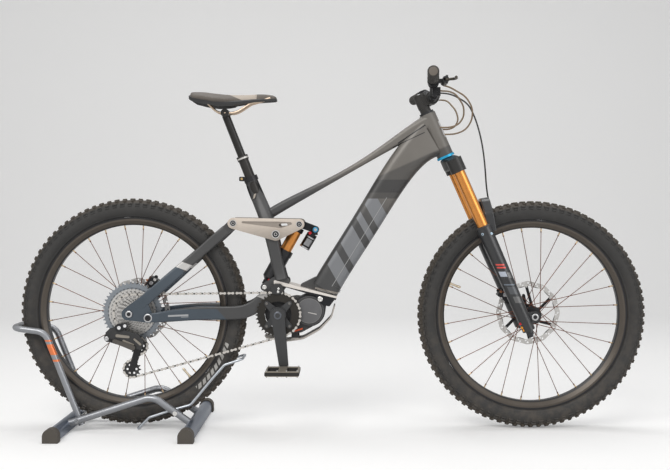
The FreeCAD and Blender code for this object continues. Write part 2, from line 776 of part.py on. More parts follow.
def cassette():
    """Eleven cogs on a carrier that turns on the hub's sleeve."""
    bore = 10 + dim.running_gap
    carrier_radius = 17.0
    near = cog_offset(0) - 2.5
    far = cog_offset(len(COG_TEETH) - 1) + 1.5
    carrier = cross_tube(ORIGIN, carrier_radius, bore, near, far)
    phase = gap_angle(rear_axle, pitch_radius(COG_TEETH[WORKING_COG]))
    cogs = []
    for index, teeth in enumerate(COG_TEETH):
        outer = pitch_radius(teeth)
        inner = carrier_radius - 1

        def holes(y, outer=outer, inner=inner):
            wires = [ring_wire(inner, y)]
            band = outer - carrier_radius
            if band > 18:
                radius = band * 0.26
                ring = carrier_radius + band * 0.46
                count = int(2 * math.pi * ring / (radius * 2.6))
                wires += [ring_wire(radius, y, polar(ORIGIN, ring, 360.0 * k / count))
                          for k in range(count)]
            return wires

        cogs.append(sprocket(teeth, phase, cog_offset(index), holes))
    keep_shape("cassette", carrier.multiFuse(cogs), rear_axle)


def pulleys():
    for label, axis in (("guide_pulley", guide_axis), ("tension_pulley", tension_axis)):
        phase = gap_angle(axis, pitch_radius(dim.pulley_teeth))

        def holes(y):
            rounds = [ring_wire(3.4, y, polar(ORIGIN, 14, 60.0 * k)) for k in range(6)]
            return [ring_wire(5 + dim.running_gap, y)] + rounds

        wheel = sprocket(int(dim.pulley_teeth), phase, cog_offset(WORKING_COG), holes)
        keep_shape(label, wheel, axis)


def derailleur():
    """Knuckles and links down to the cage, whose two plates hold the pulleys."""
    y = cog_offset(WORKING_COG)
    cage = []
    outline = [(guide_axis.x, guide_axis.z, 11), (tension_axis.x, tension_axis.z, 9)]
    if tension_axis.z < guide_axis.z:
        outline.reverse()
    for low in (y - 5.4, y + 4.2):
        cage.append(hull_plate(outline, low, low + 1.2))
    for axis in (guide_axis, tension_axis):
        cage.append(cross_pin(axis, 5, y - 4.2, y + 4.2))
    cage.append(cross_pin(guide_axis, 9, y - 9, y - 5.4))
    keep_shape("derailleur_cage", fused(cage))
    hanger = rear_axle + Vector(-12, 0, -36)
    knuckle = rear_axle + Vector(-30, 0, -42)
    elbow = rear_axle + Vector(-66, 0, -74)
    body = [
        cross_pin(guide_axis, 15, y - 28, y - 9.3),
        hull_plate([(guide_axis.x, guide_axis.z, 12), (elbow.x, elbow.z, 13)], y - 27, y - 18),
        cross_pin(elbow, 13, y - 36, y - 18),
        hull_plate([(knuckle.x, knuckle.z, 13), (elbow.x, elbow.z, 12)], y - 39, y - 29),
        cross_pin(knuckle, 12, y - 44, y - 32),
        hull_plate([(hanger.x, hanger.z, 9), (knuckle.x, knuckle.z, 9)], y - 44, y - 41.5),
    ]
    keep_shape("derailleur_body", fused(body))


def crank_set():
    """One spindle with both arms, a spider and the chainring bolted to it."""
    near_pedal = polar(crank_axis, dim.crank_length, -90 + dim.crank_lean)
    far_pedal = polar(crank_axis, dim.crank_length, 90 + dim.crank_lean)
    ring_y = -dim.chainring_offset
    near_low, near_high = ring_y - 24, ring_y - 8
    far_low = -near_high
    spider_low, spider_high = ring_y - 6, ring_y - dim.sprocket_thickness / 2
    eye = dim.pedal_axle_radius + 9
    solids = [
        cross_pin(crank_axis, dim.spindle_radius, near_low - 2, far_low + 18),
        hull_plate([(crank_axis.x, crank_axis.z, 21), (near_pedal.x, near_pedal.z, eye)],
                   near_low, near_high),
        hull_plate([(far_pedal.x, far_pedal.z, eye), (crank_axis.x, crank_axis.z, 21)],
                   far_low, far_low + 16),
        cross_pin(crank_axis, 25, near_low + 3, spider_high),
    ]
    bolt_ring = pitch_radius(dim.ring_teeth) - 19
    for index in range(4):
        spot = polar(crank_axis, bolt_ring, 45 + 90 * index)
        arm = [(spot.x, spot.z, 7.5), (crank_axis.x, crank_axis.z, 15)]
        solids.append(hull_plate(arm, spider_low, spider_high))
        solids.append(cross_pin(spot, 4, ring_y - 8, ring_y + 2.5))
    bores = [cross_pin(near_pedal, dim.pedal_axle_radius + dim.running_gap, near_low - 5, 0),
             cross_pin(far_pedal, dim.pedal_axle_radius + dim.running_gap, 0, far_low + 20)]
    keep_shape("crank_arms", fused(solids).cut(Part.makeCompound(bores)))

    def holes(y):
        rounds = [ring_wire(4.05, y, polar(ORIGIN, bolt_ring, 45 + 90 * k)) for k in range(4)]
        inner = [polar(ORIGIN, bolt_ring - 8, 22.5 * k, y) for k in range(16)]
        return rounds + [Part.makePolygon(inner + inner[:1])]

    phase = gap_angle(crank_axis, pitch_radius(dim.ring_teeth))
    ring = sprocket(int(dim.ring_teeth), phase, ring_y, holes)
    keep_shape("chainring", ring, crank_axis)
    pedal("right_pedal", near_pedal, near_low, -1, 0)
    pedal("left_pedal", far_pedal, far_low + 16, 1, dim.left_pedal_turn)


def pedal(label, axis, arm_face, side, turn):
    """A caged platform with pins round an axle that screws into the crank arm."""
    inner = arm_face + side * 6
    outer = inner + side * dim.pedal_width
    low, high = sorted((inner, outer))
    length, thick, rail = dim.pedal_length, dim.pedal_thickness, 13.0
    outline = corner_plate(
        [(-length / 2, -thick / 2), (length / 2, -thick / 2),
         (length / 2, thick / 2), (-length / 2, thick / 2)], 5, low, high)
    windows = []
    for end in SIDES:
        middle = end * (length / 4 + 3)
        windows.append(Part.makeBox(length / 2 - rail - 6, high - low - 2 * rail, thick * 2,
                                    Vector(middle - (length / 2 - rail - 6) / 2,
                                           low + rail, -thick)))
    frame = outline.cut(Part.makeCompound(windows))
    pins = []
    for x in (-length / 2 + 6, -14, 14, length / 2 - 6):
        for y in (low + 6, high - 6):
            pins.append(Part.makeCylinder(1.8, thick + 7, Vector(x, y, -thick / 2 - 3.5), AXIS_Z))
    spindle_low, spindle_high = sorted((arm_face - side * 14, outer - side * 4))
    axle = cross_pin(ORIGIN, dim.pedal_axle_radius, spindle_low, spindle_high)
    shape = frame.multiFuse(pins + [axle])
    shape.rotate(ORIGIN, AXIS_Y, turn)
    keep_shape(label, shape, axis)


# ---------------------------------------------------------------- main frame

def down_tube_stations():
    """The down tube from the motor to the head tube, along its middle line."""
    slope = 58.3
    depth, width = dim.down_tube_depth, dim.down_tube_width
    head = on_steer(-dim.head_length / 2, -dim.head_radius + 8)
    return [
        (-22, 0, 438, slope, depth, width, 22),
        (84, 0, 610, slope, depth, width, 22),
        (182, 0, 768, slope - 2, depth + 4, width, 24),
        (258, 0, 868, 48, depth + 16, width - 6, 24),
        (head.x, 0, head.z, 90 - dim.head_angle + 6, 128, 2 * dim.head_radius - 1, 20),
    ]


def main_frame():
    """Head tube, top tube, down tube, seat tube and pivot bosses welded into one."""
    seat_top = Vector(dim.seat_clamp_x, 0, dim.seat_clamp_z)
    seat_bend = Vector(dim.seat_bend_x, 0, dim.seat_bend_z)
    lean = heading_of(seat_bend, seat_top)
    tube = 2 * dim.seat_tube_radius
    leg_width = 2 * (dim.rocker_inside - 3.5)
    joint = toward(seat_bend, seat_top, 0.35)
    seat_tube = box_loft([
        (-158, 0, 470, 104, 36, leg_width, 8),
        (-176, 0, 545, 104, 38, leg_width, 9),
        (-197, 0, 632, 104, 42, leg_width, 12),
        (joint.x, 0, joint.z, lean, tube + 6, tube + 6, 20),
        (seat_top.x, 0, seat_top.z, lean, tube, tube, dim.seat_tube_radius - 0.5),
    ])
    slot = corner_plate([(-260, 560), (-215, 655), (-150, 655), (-60, 560), (-60, 440),
                         (-260, 440)], [0, 22, 22, 0, 0, 0], -30, 30)
    seat_tube = seat_tube.cut(slot)
    top_tube = box_loft([
        (-205, 0, 668, 29, 30, 38, 10),
        (-60, 0, 749, 29.3, 23, 36, 10),
        (119, 0, 850, 30, 21, 38, 9),
        (250, 0, 932, 33, 40, 46, 12),
        (302, 0, 962, 30, 48, 2 * dim.head_radius - 2, 16),
    ])
    stations = down_tube_stations()
    down_tube = box_loft(stations)
    head_tube = cylinder(on_steer(0), on_steer(-dim.head_length), dim.head_radius)
    pivot_boss = dim.rocker_inside - 0.4
    bosses = [
        cross_pin(rocker_pivot, 19, -pivot_boss, -30),
        cross_pin(rocker_pivot, 19, 30, pivot_boss),
        cross_pin(main_pivot, 15, -35.5, 35.5),
    ]
    for low, high in ((-34, -27), (27, 34)):
        bosses.append(hull_plate([
            (shock_eye.x, shock_eye.z, 12), (-172, 468, 13), (-146, 462, 13),
            (main_pivot.x, main_pivot.z, 15)], low, high))
    cable_guide = hull_plate([(-92, 448, 7), (-52, 468, 7), (-52, 440, 7)], -14, 14)
    frame = fused([seat_tube, top_tube, down_tube, head_tube, cable_guide] + bosses)
    cuts = [
        cylinder(on_steer(4), on_steer(-dim.head_length - 4), dim.steerer_radius + 6),
        cylinder(toward(seat_top, seat_bend, -0.1),
                 toward(seat_top, seat_bend, (dim.post_outer_sunk + 2)
                        / (seat_top - seat_bend).Length), dim.post_outer_radius + 0.05),
        cross_pin(rocker_pivot, 8 + dim.running_gap, -60, 60),
        cross_pin(main_pivot, 8 + dim.running_gap, -60, 60),
        cross_pin(shock_eye, 5, -60, 60),
        battery_space(stations[:3]),
    ]
    keep_shape("main_frame", frame.cut(Part.makeCompound(cuts)))


def cover_side(stations, lip):
    """The slab of space on the lower side of the down tube that the cover closes."""
    x_low, _, z_low, slope, depth, width, _ = stations[0]
    x_high, _, z_high = stations[2][:3]
    along = Vector(x_high - x_low, 0, z_high - z_low)
    length = along.Length - 40 - 2 * lip
    along.normalize()
    downward = Vector(along.z, 0, -along.x)
    corner = (Vector(x_low, 0, z_low) + along * (26 + lip)
              + downward * (dim.cover_offset + lip) + AXIS_Y * width)
    slab = Part.makeBox(length, 2 * width, depth, ORIGIN)
    slab.Placement = FreeCAD.Placement(
        corner, FreeCAD.Rotation(along, AXIS_Y * -1, downward, "XYZ"))
    return slab


def battery_space(stations):
    inside = box_loft(stations, dim.frame_wall)
    return inside.fuse(cover_side(stations, 0.0))


def battery_pack():
    """The sealed cell pack in the down tube and the cover that closes it."""
    stations = down_tube_stations()[:3]
    tube = box_loft(down_tube_stations())
    cover = tube.common(cover_side(stations, dim.seam_gap))
    cover = cover.cut(box_loft(stations, dim.frame_wall))
    low, middle, high = [Vector(*station[:3]) for station in stations]
    ends = [toward(low, middle, 0.08), middle, toward(middle, high, 0.93)]
    cells = box_loft([(spot.x, spot.y, spot.z) + tuple(station[3:])
                      for spot, station in zip(ends, stations)], dim.frame_wall + 0.7)
    keep_shape("battery_pack", Part.makeCompound([cells, cover]))


def motor_bracket():
    """The light strip between the frame and the motor, with ears at its front."""
    half = dim.motor_half_width + 6
    strip = corner_plate([(-181, 468), (16, 417), (12, 405), (-60, 421), (-181, 456)],
                         [3, 3, 3, 0, 3], -half, half)
    ears = []
    for side in SIDES:
        low, high = sorted((side * (dim.motor_half_width + 0.3), side * half))
        ears.append(corner_plate([(-58, 424), (12, 412), (-8, 385), (-32, 392)],
                                 [4, 6, 6, 6], low, high))
    pins = [cross_pin(Vector(-34, 0, 405), 7, -half - 3, -half),
            cross_pin(Vector(-34, 0, 405), 7, half, half + 3)]
    inside = dim.rocker_inside - 17
    clear = [cross_pin(main_pivot, 19, -half - 1, half + 1), made("main_frame"),
             made("drive_unit"),
             Part.makeBox(60, 2 * inside, 60, Vector(-210, -inside, 430))]
    keep_shape("motor_bracket", fused([strip] + ears + pins).cut(clear))


def drive_unit():
    """Housing round the crank spindle and the motor, with a round cover on each side."""
    half = dim.motor_half_width
    housing = hull_plate([
        (crank_axis.x, crank_axis.z, 42), (motor_axis.x - 42, 398, 16), (-32, 392, 14),
        (motor_axis.x + 4, motor_axis.z, dim.motor_radius - 4)], -half, half)
    belly = cross_pin(motor_axis, dim.motor_radius, -half + 4, half - 4)
    covers = [cross_pin(motor_axis, dim.motor_radius - 9, half, half + 8),
              cross_pin(motor_axis, dim.motor_radius - 9, -half - 8, -half),
              cross_pin(crank_axis, 21, -half - 5, half + 12)]
    rings = [cross_tube(motor_axis, dim.motor_radius - 4, dim.motor_radius - 9, -half - 4, -half),
             cross_tube(motor_axis, dim.motor_radius - 4, dim.motor_radius - 9, half, half + 4)]
    bore = cross_pin(crank_axis, dim.spindle_radius + dim.running_gap, -80, 80)
    keep_shape("drive_unit", fused([housing, belly] + covers + rings).cut(bore))


def bash_guard():
    """A bent plate under the motor."""
    outline = [(-214, 297), (-204, 289), (-142, 279), (-92, 286), (-40, 315), (-4, 352),
               (6, 387), (10, 387), (0, 350), (-37, 311), (-90, 281), (-142, 274), (-206, 284)]
    radii = [1, 6, 40, 40, 40, 30, 1, 1, 34, 44, 44, 44, 4]
    shell = corner_plate(outline, radii, -34, 34)
    tabs = [corner_plate([(-128, 279), (-104, 279), (-108, 330), (-124, 330)],
                         [2, 2, 4, 4], low, low + 3) for low in (-33, 30)]
    keep_shape("bash_guard", fused([shell] + tabs).cut(made("drive_unit")))


def seat_line(along, side=0.0):
    """A point by its distance above the seat tube's top, along the seatpost."""
    top = Vector(dim.seat_clamp_x, 0, dim.seat_clamp_z)
    bend = Vector(dim.seat_bend_x, 0, dim.seat_bend_z)
    return top + (top - bend).normalize() * along + AXIS_Y * side


def seat_parts():
    """Clamp, dropper post, rails and saddle."""
    post, inner = dim.post_outer_radius, dim.post_inner_radius
    clamp_radius = dim.seat_tube_radius + 3.5
    clamp = cylinder(seat_line(-9), seat_line(6), clamp_radius)
    ear = corner_plate([(-292, 776), (-274, 776), (-274, 790), (-292, 790)], 3, -7, 7)
    core = [cylinder(seat_line(-20), seat_line(0.2), dim.seat_tube_radius + 0.1),
            cylinder(seat_line(-12), seat_line(30), post + 0.1)]
    keep_shape("seat_clamp", clamp.fuse(ear).cut(Part.makeCompound(core)))
    show, sunk = dim.post_outer_show, dim.post_outer_sunk
    tube = cylinder(seat_line(-sunk), seat_line(show - 14), post)
    collar = cylinder(seat_line(show - 14), seat_line(show), post + 2.6)
    bore = cylinder(seat_line(-sunk - 1), seat_line(show + 1), inner + dim.running_gap)
    keep_shape("seatpost_outer", tube.fuse(collar).cut(bore))
    head = seat_line(show + dim.post_inner_show)
    inner_tube = cylinder(seat_line(dim.dropper_travel + 4 - sunk), head, inner)
    cradle = cross_pin(head + Vector(0, 0, 6), 13, -27, 27)
    keep_shape("seatpost_inner", inner_tube.fuse(cradle).cut(
        Part.makeCompound([cross_pin(head + Vector(0, 0, 6), 2.5, -30, 30)]
                          + both_sides(rail_tube(3.7)))))
    keep_shape("saddle_rails", Part.makeCompound(both_sides(rail_tube(3.5))))
    saddle()


def rail_tube(radius):
    """One saddle rail, from under the tail through the post head to the nose."""
    head = seat_line(dim.post_outer_show + dim.post_inner_show)
    nose, top = dim.saddle_nose_x, dim.seat_height
    tail = nose - dim.saddle_length
    points = [Vector(tail + 40, 32, top - 17), Vector(tail + 62, 27, top - 36),
              Vector(head.x - 24, 22, head.z + 6), Vector(head.x + 34, 22, head.z + 6),
              Vector(head.x + 80, 19, top - 32), Vector(nose - 24, 12, top - 15)]
    return swept_tube(points, [0, 14, 40, 60, 24, 0], radius)


def saddle():
    """The padded shell, from a broad tail to a narrow nose."""
    nose, top = dim.saddle_nose_x, dim.seat_height
    tail = nose - dim.saddle_length
    half = dim.saddle_width / 2
    stations = ((0, 0.60, 8, 24), (0.05, 0.86, 7, 31), (0.18, 1.0, 3, 33), (0.4, 0.80, -4, 31),
                (0.62, 0.42, -4, 28), (0.86, 0.28, 0, 26), (0.97, 0.22, -3, 22), (1, 0.14, -8, 14))
    wires = []
    for share, breadth, lift, deep in stations:
        x = tail + dim.saddle_length * share
        wide = half * breadth
        upper = top + lift
        points = [Vector(x, -wide, upper - deep + 2), Vector(x, -wide, upper - deep * 0.45),
                  Vector(x, -wide * 0.45, upper), Vector(x, wide * 0.45, upper),
                  Vector(x, wide, upper - deep * 0.45), Vector(x, wide, upper - deep + 2),
                  Vector(x, wide * 0.5, upper - 15), Vector(x, -wide * 0.5, upper - 15)]
        wires.append(Part.makePolygon(points + points[:1]))
    shell = solid_loft(wires, ruled=True)
    keep_shape("saddle", shell.cut(Part.makeCompound(both_sides(rail_tube(3.8)))))


# ---------------------------------------------------------------- rear suspension

def chain_stays():
    """Swingarm: a yoke round the main pivot and a stay on each side of the wheel."""
    arm_in, arm_out = 36.0, 46.3
    end_in = dim.rear_hub_width / 2 + 8.4
    solids = []
    for side in SIDES:
        stations = [
            (horst_pivot.x + 8, side * (end_in + 3.5), horst_pivot.z + 1, 4, 27, 7, 3),
            (-525, side * (end_in + 1.5), 357, 5, 33, 11, 5),
            (-480, side * 69, 361, 4, 38, 15, 6),
            (-420, side * 54, 365, 2, 42, 17, 6),
            (-330, side * 49, 366, 2, 43, 16, 6),
            (-272, side * 46.5, 371, 12, 43, 15, 6),
            (-236, side * (arm_in + 5.2), 388, 30, 42, 10.2, 4),
            (-196, side * (arm_in + 5.2), 417, 37, 34, 10.2, 4),
        ]
        solids.append(box_loft(stations))
        low, high = sorted((side * arm_in, side * arm_out))
        solids.append(cross_pin(main_pivot, 16, low, high))
        solids.append(hull_plate([(-204, 411, 14), (main_pivot.x, main_pivot.z, 16)], low, high))
        low, high = sorted((side * end_in, side * (end_in + 7)))
        solids.append(cross_pin(horst_pivot, 15, low, high))
        solids.append(hull_plate([(horst_pivot.x, horst_pivot.z, 14), (-540, 356, 14)],
                                 low, high))
    bridge = corner_plate([(-262, 356), (-238, 360), (-238, 384), (-262, 384)], 6, -44, 44)
    shape = fused(solids + [bridge])
    bores = [cross_pin(main_pivot, 8 + dim.running_gap, -60, 60),
             cross_pin(horst_pivot, 6 + dim.running_gap, -120, 120)]
    keep_shape("chain_stays", shape.cut(Part.makeCompound(bores)))


def seat_stays():
    """A stay on each side from the axle to the rocker, joined above the tyre."""
    inner = dim.rear_hub_width / 2 + 0.1
    tip_in, tip_out = 34.0, dim.rocker_inside - 0.4
    slope = heading_of(rear_axle, rocker_rear)
    foot = toward(rear_axle, rocker_rear, 0.12)
    solids = []
    for side in SIDES:
        def station(share, y, depth, width, corner, side=side):
            point = toward(rear_axle, rocker_rear, share)
            return (point.x, side * y, point.z, slope, depth, width, corner)

        solids.append(box_loft([
            station(0.08, inner + 4, 36, 7.6, 3), station(0.22, inner + 4, 34, 9, 4),
            station(0.36, inner - 6, 34, 13, 5), station(0.52, 53, 33, 15, 6),
            station(0.75, 45, 32, 14, 6), station(0.93, 41, 30, 11.5, 5)]))
        low, high = sorted((side * inner, side * (inner + 8)))
        solids.append(hull_plate([(rear_axle.x - 4, rear_axle.z, 19), (foot.x, foot.z, 18),
                                  (horst_pivot.x, horst_pivot.z, 15)], low, high))
        low, high = sorted((side * tip_in, side * tip_out))
        solids.append(cross_pin(rocker_rear, 15, low, high))
        neck = toward(rear_axle, rocker_rear, 0.92)
        solids.append(hull_plate([(neck.x, neck.z, 14), (rocker_rear.x, rocker_rear.z, 15)],
                                 low, high))
    bridge = toward(rear_axle, rocker_rear, 0.935)
    solids.append(cross_pin(bridge, 7, -tip_in - 2, tip_in + 2))
    shape = fused(solids)
    cuts = [cross_pin(rear_axle, dim.axle_radius + 0.05, -100, 100),
            cross_pin(rocker_rear, 9.4, -60, -30), cross_pin(rocker_rear, 9.4, 30, 60)]
    pivot = horst_pivot
    stubs = [cross_pin(pivot, 6, side * (inner + 4) - 7, side * (inner + 4) + 7)
             for side in SIDES]
    shape = shape.cut(Part.makeCompound(cuts)).multiFuse(stubs)
    keep_shape("seat_stays", shape)


def rear_axle_parts():
    half = dim.rear_hub_width / 2
    axle = cross_pin(rear_axle, dim.axle_radius, -half - 11, half + 12)
    heads = [cross_pin(rear_axle, 11, -half - 11, -half - 8.2),
             cross_pin(rear_axle, 11, half + 8.2, half + 12)]
    keep_shape("rear_axle", fused([axle] + heads))
    caliper("rear_caliper", rear_axle, dim.rear_rotor_offset, 62, half + 0.1)


def caliper(label, axis, offset, angle, mount_y, carrier=None):
    """A brake caliper whose pads stand each side of the rotor's band."""
    spot = polar(axis, dim.rotor_radius - 8, angle)
    heading = math.radians(angle)
    half_gap = dim.rotor_thickness / 2 + 0.5
    body = Part.makeBox(40, 34, 30, Vector(-18, offset - 17, -15))
    slot = Part.makeBox(36, 2 * half_gap, 40, Vector(-20, offset - half_gap, -20))
    shape = body.cut(slot)
    shape = shape.makeFillet(3, [edge for edge in shape.Edges if edge.BoundBox.YLength > 15])
    shape.rotate(ORIGIN, AXIS_Y, -math.degrees(heading))
    shape.translate(Vector(spot.x, 0, spot.z))
    foot = polar(axis, dim.rotor_radius + 15, angle)
    low, high = sorted((offset + 10, mount_y))
    shape = shape.fuse(cross_pin(foot, 6, low, high))
    keep_shape(label, largest(shape.cut(carrier)) if carrier else shape)


def rocker():
    """Two plates with an oval window, and the bolts through the three pivots."""
    low, high = dim.rocker_inside, dim.rocker_inside + dim.rocker_plate
    plate = hull_plate([(rocker_rear.x, rocker_rear.z, 17), (rocker_front.x, rocker_front.z, 16),
                        (rocker_pivot.x, rocker_pivot.z, 20)], low, high)
    recess = hull_plate([(-276, 648, 3), (-168, 643, 7), (-128, 644, 4), (-158, 634, 4)],
                        high - 3.5, high + 1)
    window = hull_plate([(-160, 639, 4.5), (-142, 640, 4.5)], low - 1, high + 1)
    plate = plate.cut(recess).cut(window)
    rims = [cross_tube(item, radius, radius - 4, high, high + 1.5)
            for item, radius in ((rocker_rear, 16), (rocker_front, 15), (rocker_pivot, 18))]
    plate = fused([plate] + rims)
    bores = [cross_pin(rocker_rear, 6, 0, 80), cross_pin(rocker_front, 5, 0, 80),
             cross_pin(rocker_pivot, 8, 0, 80)]
    plate = plate.cut(Part.makeCompound(bores))
    keep_shape("rocker_link", Part.makeCompound(both_sides(plate)))
    bolts = []
    head = 2.4
    for item, shaft, radius in ((rocker_pivot, 8, 12.5), (rocker_front, 5, 10)):
        pin = fused([cross_pin(item, shaft, -high - head, high + head),
                     cross_pin(item, radius, high, high + head),
                     cross_pin(item, radius, -high - head, -high)])
        socket = [cross_pin(item, 4, high + head - 2, high + head + 1),
                  cross_pin(item, 4, -high - head - 1, -high - head + 2)]
        bolts.append(pin.cut(Part.makeCompound(socket)))
    rear = cross_pin(rocker_rear, 5.95, 33.6, high + head)
    rear = rear.fuse(cross_pin(rocker_rear, 10.5, high, high + head))
    rear = rear.cut(cross_pin(rocker_rear, 4, high + head - 2, high + head + 1))
    bolts += both_sides(rear)
    keep_shape("pivot_bolts", Part.makeCompound(bolts))


def shock():
    """A damper can on the frame and a shaft with its reservoir on the rocker."""
    axis = (rocker_front - shock_eye).normalize()
    length = (rocker_front - shock_eye).Length

    def at(along):
        return shock_eye + axis * along

    can_top = length - 93
    can = [cross_pin(shock_eye, 11, -13, 13), cylinder(at(4), at(22), 15),
           Part.makeCone(15, 24, 10, at(20), axis), cylinder(at(30), at(can_top - 16), 24),
           cylinder(at(can_top - 18), at(can_top), 26)]
    bore = cylinder(at(34), at(can_top + 1), 20)
    eye_bolt = cross_pin(shock_eye, 4.9, -35.5, 35.5)
    shape = fused(can).cut(bore)
    spacers = [cross_pin(shock_eye, 8, -26.7, -13), cross_pin(shock_eye, 8, 13, 26.7)]
    keep_shape("shock_can", fused([shape, eye_bolt] + spacers))
    shaft = [cylinder(at(length - 140), at(length - 20), 18),
             cylinder(at(length - 26), at(length - 12), 21),
             cross_pin(rocker_front, 14, -14, 14), cross_pin(rocker_front, 8, -47, 47)]
    knob = Vector(-52, 0, 624)
    tank_top = Vector(-62, 0, 610)
    tank_end = Vector(-88, 0, 566)
    shaft.append(hull_plate([(rocker_front.x, rocker_front.z, 12), (knob.x, knob.z, 11)],
                            -11, 11))
    shaft.append(cylinder(tank_top, tank_end, 16.5))
    shaft.append(cross_pin(knob, 8, -20, 20))
    shaft.append(cylinder(Vector(-60, 0, 632), Vector(-58, 0, 606), 13))
    body = fused(shaft).cut(cross_pin(rocker_front, 5.05, -60, 60))
    keep_shape("shock_body", body)


# ---------------------------------------------------------------- fork and steering

def leg_line(along, side):
    return on_steer(along, dim.leg_offset, side * dim.leg_spacing / 2)


def headset():
    """Bearing cups in the head tube, with the cover under the spacers."""
    outer, inner = dim.steerer_radius + 5.95, dim.steerer_radius + dim.running_gap
    top = -dim.head_length
    lower_cup = cylinder(on_steer(0), on_steer(-16), outer)
    ring = cylinder(on_steer(2.4), on_steer(0), dim.head_radius + 1)
    upper_cup = cylinder(on_steer(top + 16), on_steer(top), outer)
    cover = cylinder(on_steer(top), on_steer(top - 7), dim.head_radius - 3)
    bore = cylinder(on_steer(20), on_steer(top - 20), inner)
    pieces = [fused([lower_cup, ring]).cut(bore), fused([upper_cup, cover]).cut(bore)]
    keep_shape("headset", Part.makeCompound(pieces))


def fork_upper():
    steerer_top = -dim.stem_height - 22
    crown = box_crown()
    steerer = cylinder(on_steer(20), on_steer(steerer_top), dim.steerer_radius)
    sockets = [cylinder(leg_line(14, side), leg_line(dim.crown_drop, side),
                        dim.stanchion_radius + 7) for side in SIDES]
    bores = [cylinder(leg_line(18, side), leg_line(dim.crown_drop + 1, side),
                      dim.stanchion_radius + 0.02) for side in SIDES]
    arch_path = fork_arch(dim.crown_drop + dim.stanchion_show - dim.fork_travel - 1.5)
    trim = fused([arch_path.translated(steer_down * drop) for drop in (0, 1.5, 4, 8)])
    keep_shape("fork_crown",
               fused([crown, steerer] + sockets).cut(Part.makeCompound(bores)).cut(trim))
    seal = dim.crown_drop + dim.stanchion_show
    tubes = [cylinder(leg_line(18.1, side), leg_line(seal + dim.fork_travel / 2 + 20, side),
                      dim.stanchion_radius) for side in SIDES]
    keep_shape("stanchions", Part.makeCompound(tubes))


def box_crown():
    """The forging from one stanchion socket to the other, waisted at the steerer."""
    wires = []
    half = dim.leg_spacing / 2
    for share, top, depth, ahead in ((-1, 14, 40, dim.leg_offset), (-0.5, 6, 44, 8),
                                     (0, 2.5, 48, 2), (0.5, 6, 44, 8),
                                     (1, 14, 40, dim.leg_offset)):
        low = top + 36 if abs(share) == 1 else 44
        points = [on_steer(top, ahead - depth / 2, share * half),
                  on_steer(top, ahead + depth / 2, share * half),
                  on_steer(low, ahead + depth / 2, share * half),
                  on_steer(low, ahead - depth / 2, share * half)]
        wires.append(Part.Wire(Part.__sortEdges__(rounded_edges(points, 8, closed=True))))
    return solid_loft(wires)


def fork_arch(seal):
    """The brace from leg to leg, rising in front of the tyre's top."""
    base = on_steer(seal + 22, dim.leg_offset + 20)
    top = on_steer(seal - 74, dim.leg_offset + 44)
    half = dim.leg_spacing / 2
    points = [toward(base, top, rise) + AXIS_Y * (half * share)
              for rise, share in ((0, -0.98), (0.58, -0.9), (1, -0.42), (1, 0.42),
                                  (0.58, 0.9), (0, 0.98))]
    direction = (points[1] - points[0]).normalize()
    across = direction.cross(AXIS_Y).normalize()
    inward = direction.cross(across)
    corners = [points[0] + across * a + inward * b
               for a, b in ((-14, -5), (14, -5), (14, 5), (-14, 5))]
    section = Part.Wire(Part.__sortEdges__(rounded_edges(corners, 3.5, closed=True)))
    path = Part.Wire(Part.__sortEdges__(rounded_edges(points, [0, 26, 26, 26, 26, 0])))
    return path.makePipeShell([section], True, False)


def fork_lowers():
    """Two cast legs joined by an arch in front of the tyre, with the axle's dropouts."""
    seal = dim.crown_drop + dim.stanchion_show
    end = seal + dim.lower_leg_length
    radius = dim.lower_leg_radius
    solids = []
    bores = []
    half_hub = dim.front_hub_width / 2
    for side in SIDES:
        solids.append(cylinder(leg_line(seal, side), leg_line(seal + 20, side), radius + 1.5))
        solids.append(Part.makeCone(radius, radius - 3.5, end - seal - 18,
                                    leg_line(seal + 18, side), steer_down))
        solids.append(cylinder(leg_line(end, side), leg_line(end + 8, side), radius - 12))
        low, high = sorted((side * (half_hub + 0.1), side * (half_hub + 18)))
        foot = leg_line(dim.fork_length - 8, side)
        solids.append(hull_plate([(foot.x, foot.z, 17), (front_axle.x, front_axle.z, 17)],
                                 low, high))
        bores.append(cylinder(leg_line(seal - 110, side),
                              leg_line(seal + dim.fork_travel * 1.5 + 24, side),
                              dim.stanchion_radius + 0.4))
    solids.append(fork_arch(seal))
    shape = fused(solids)
    bores.append(cross_pin(front_axle, dim.axle_radius + 0.05, -100, 100))
    keep_shape("fork_lowers", shape.cut(Part.makeCompound(bores)))
    axle = cross_pin(front_axle, dim.axle_radius, -half_hub - 22, half_hub + 21)
    heads = [cross_pin(front_axle, 11, -half_hub - 22, -half_hub - 18.1),
             cross_pin(front_axle, 11, half_hub + 18.1, half_hub + 21)]
    lever = hull_plate([(front_axle.x, front_axle.z, 8), (front_axle.x - 8, front_axle.z + 52, 5)],
                       half_hub + 21, half_hub + 26)
    keep_shape("front_axle", fused([axle, lever] + heads))
    leg = cylinder(leg_line(seal, 1), leg_line(end, 1), dim.stanchion_radius + 1)
    caliper("front_caliper", front_axle, dim.front_rotor_offset, 143, half_hub + 2,
            made("fork_lowers").fuse(leg))


def bar_centre():
    return on_steer(-dim.stem_height, dim.stem_length)


def bar_point(y):
    """A point of the handlebar's middle line at a distance across the bicycle."""
    side = 1 if y > 0 else -1
    centre = bar_centre()
    rise_start, rise_end = 48.0, 112.0
    share = min(max((abs(y) - rise_start) / (rise_end - rise_start), 0.0), 1.0)
    back = dim.bar_sweep * max(abs(y) - rise_start, 0) / (dim.bar_half_width - rise_start)
    lift = dim.bar_rise * (0.82 * share + 0.18 * max(abs(y) - rise_end, 0)
                           / (dim.bar_half_width - rise_end))
    return Vector(centre.x - back, side * abs(y), centre.z + lift)


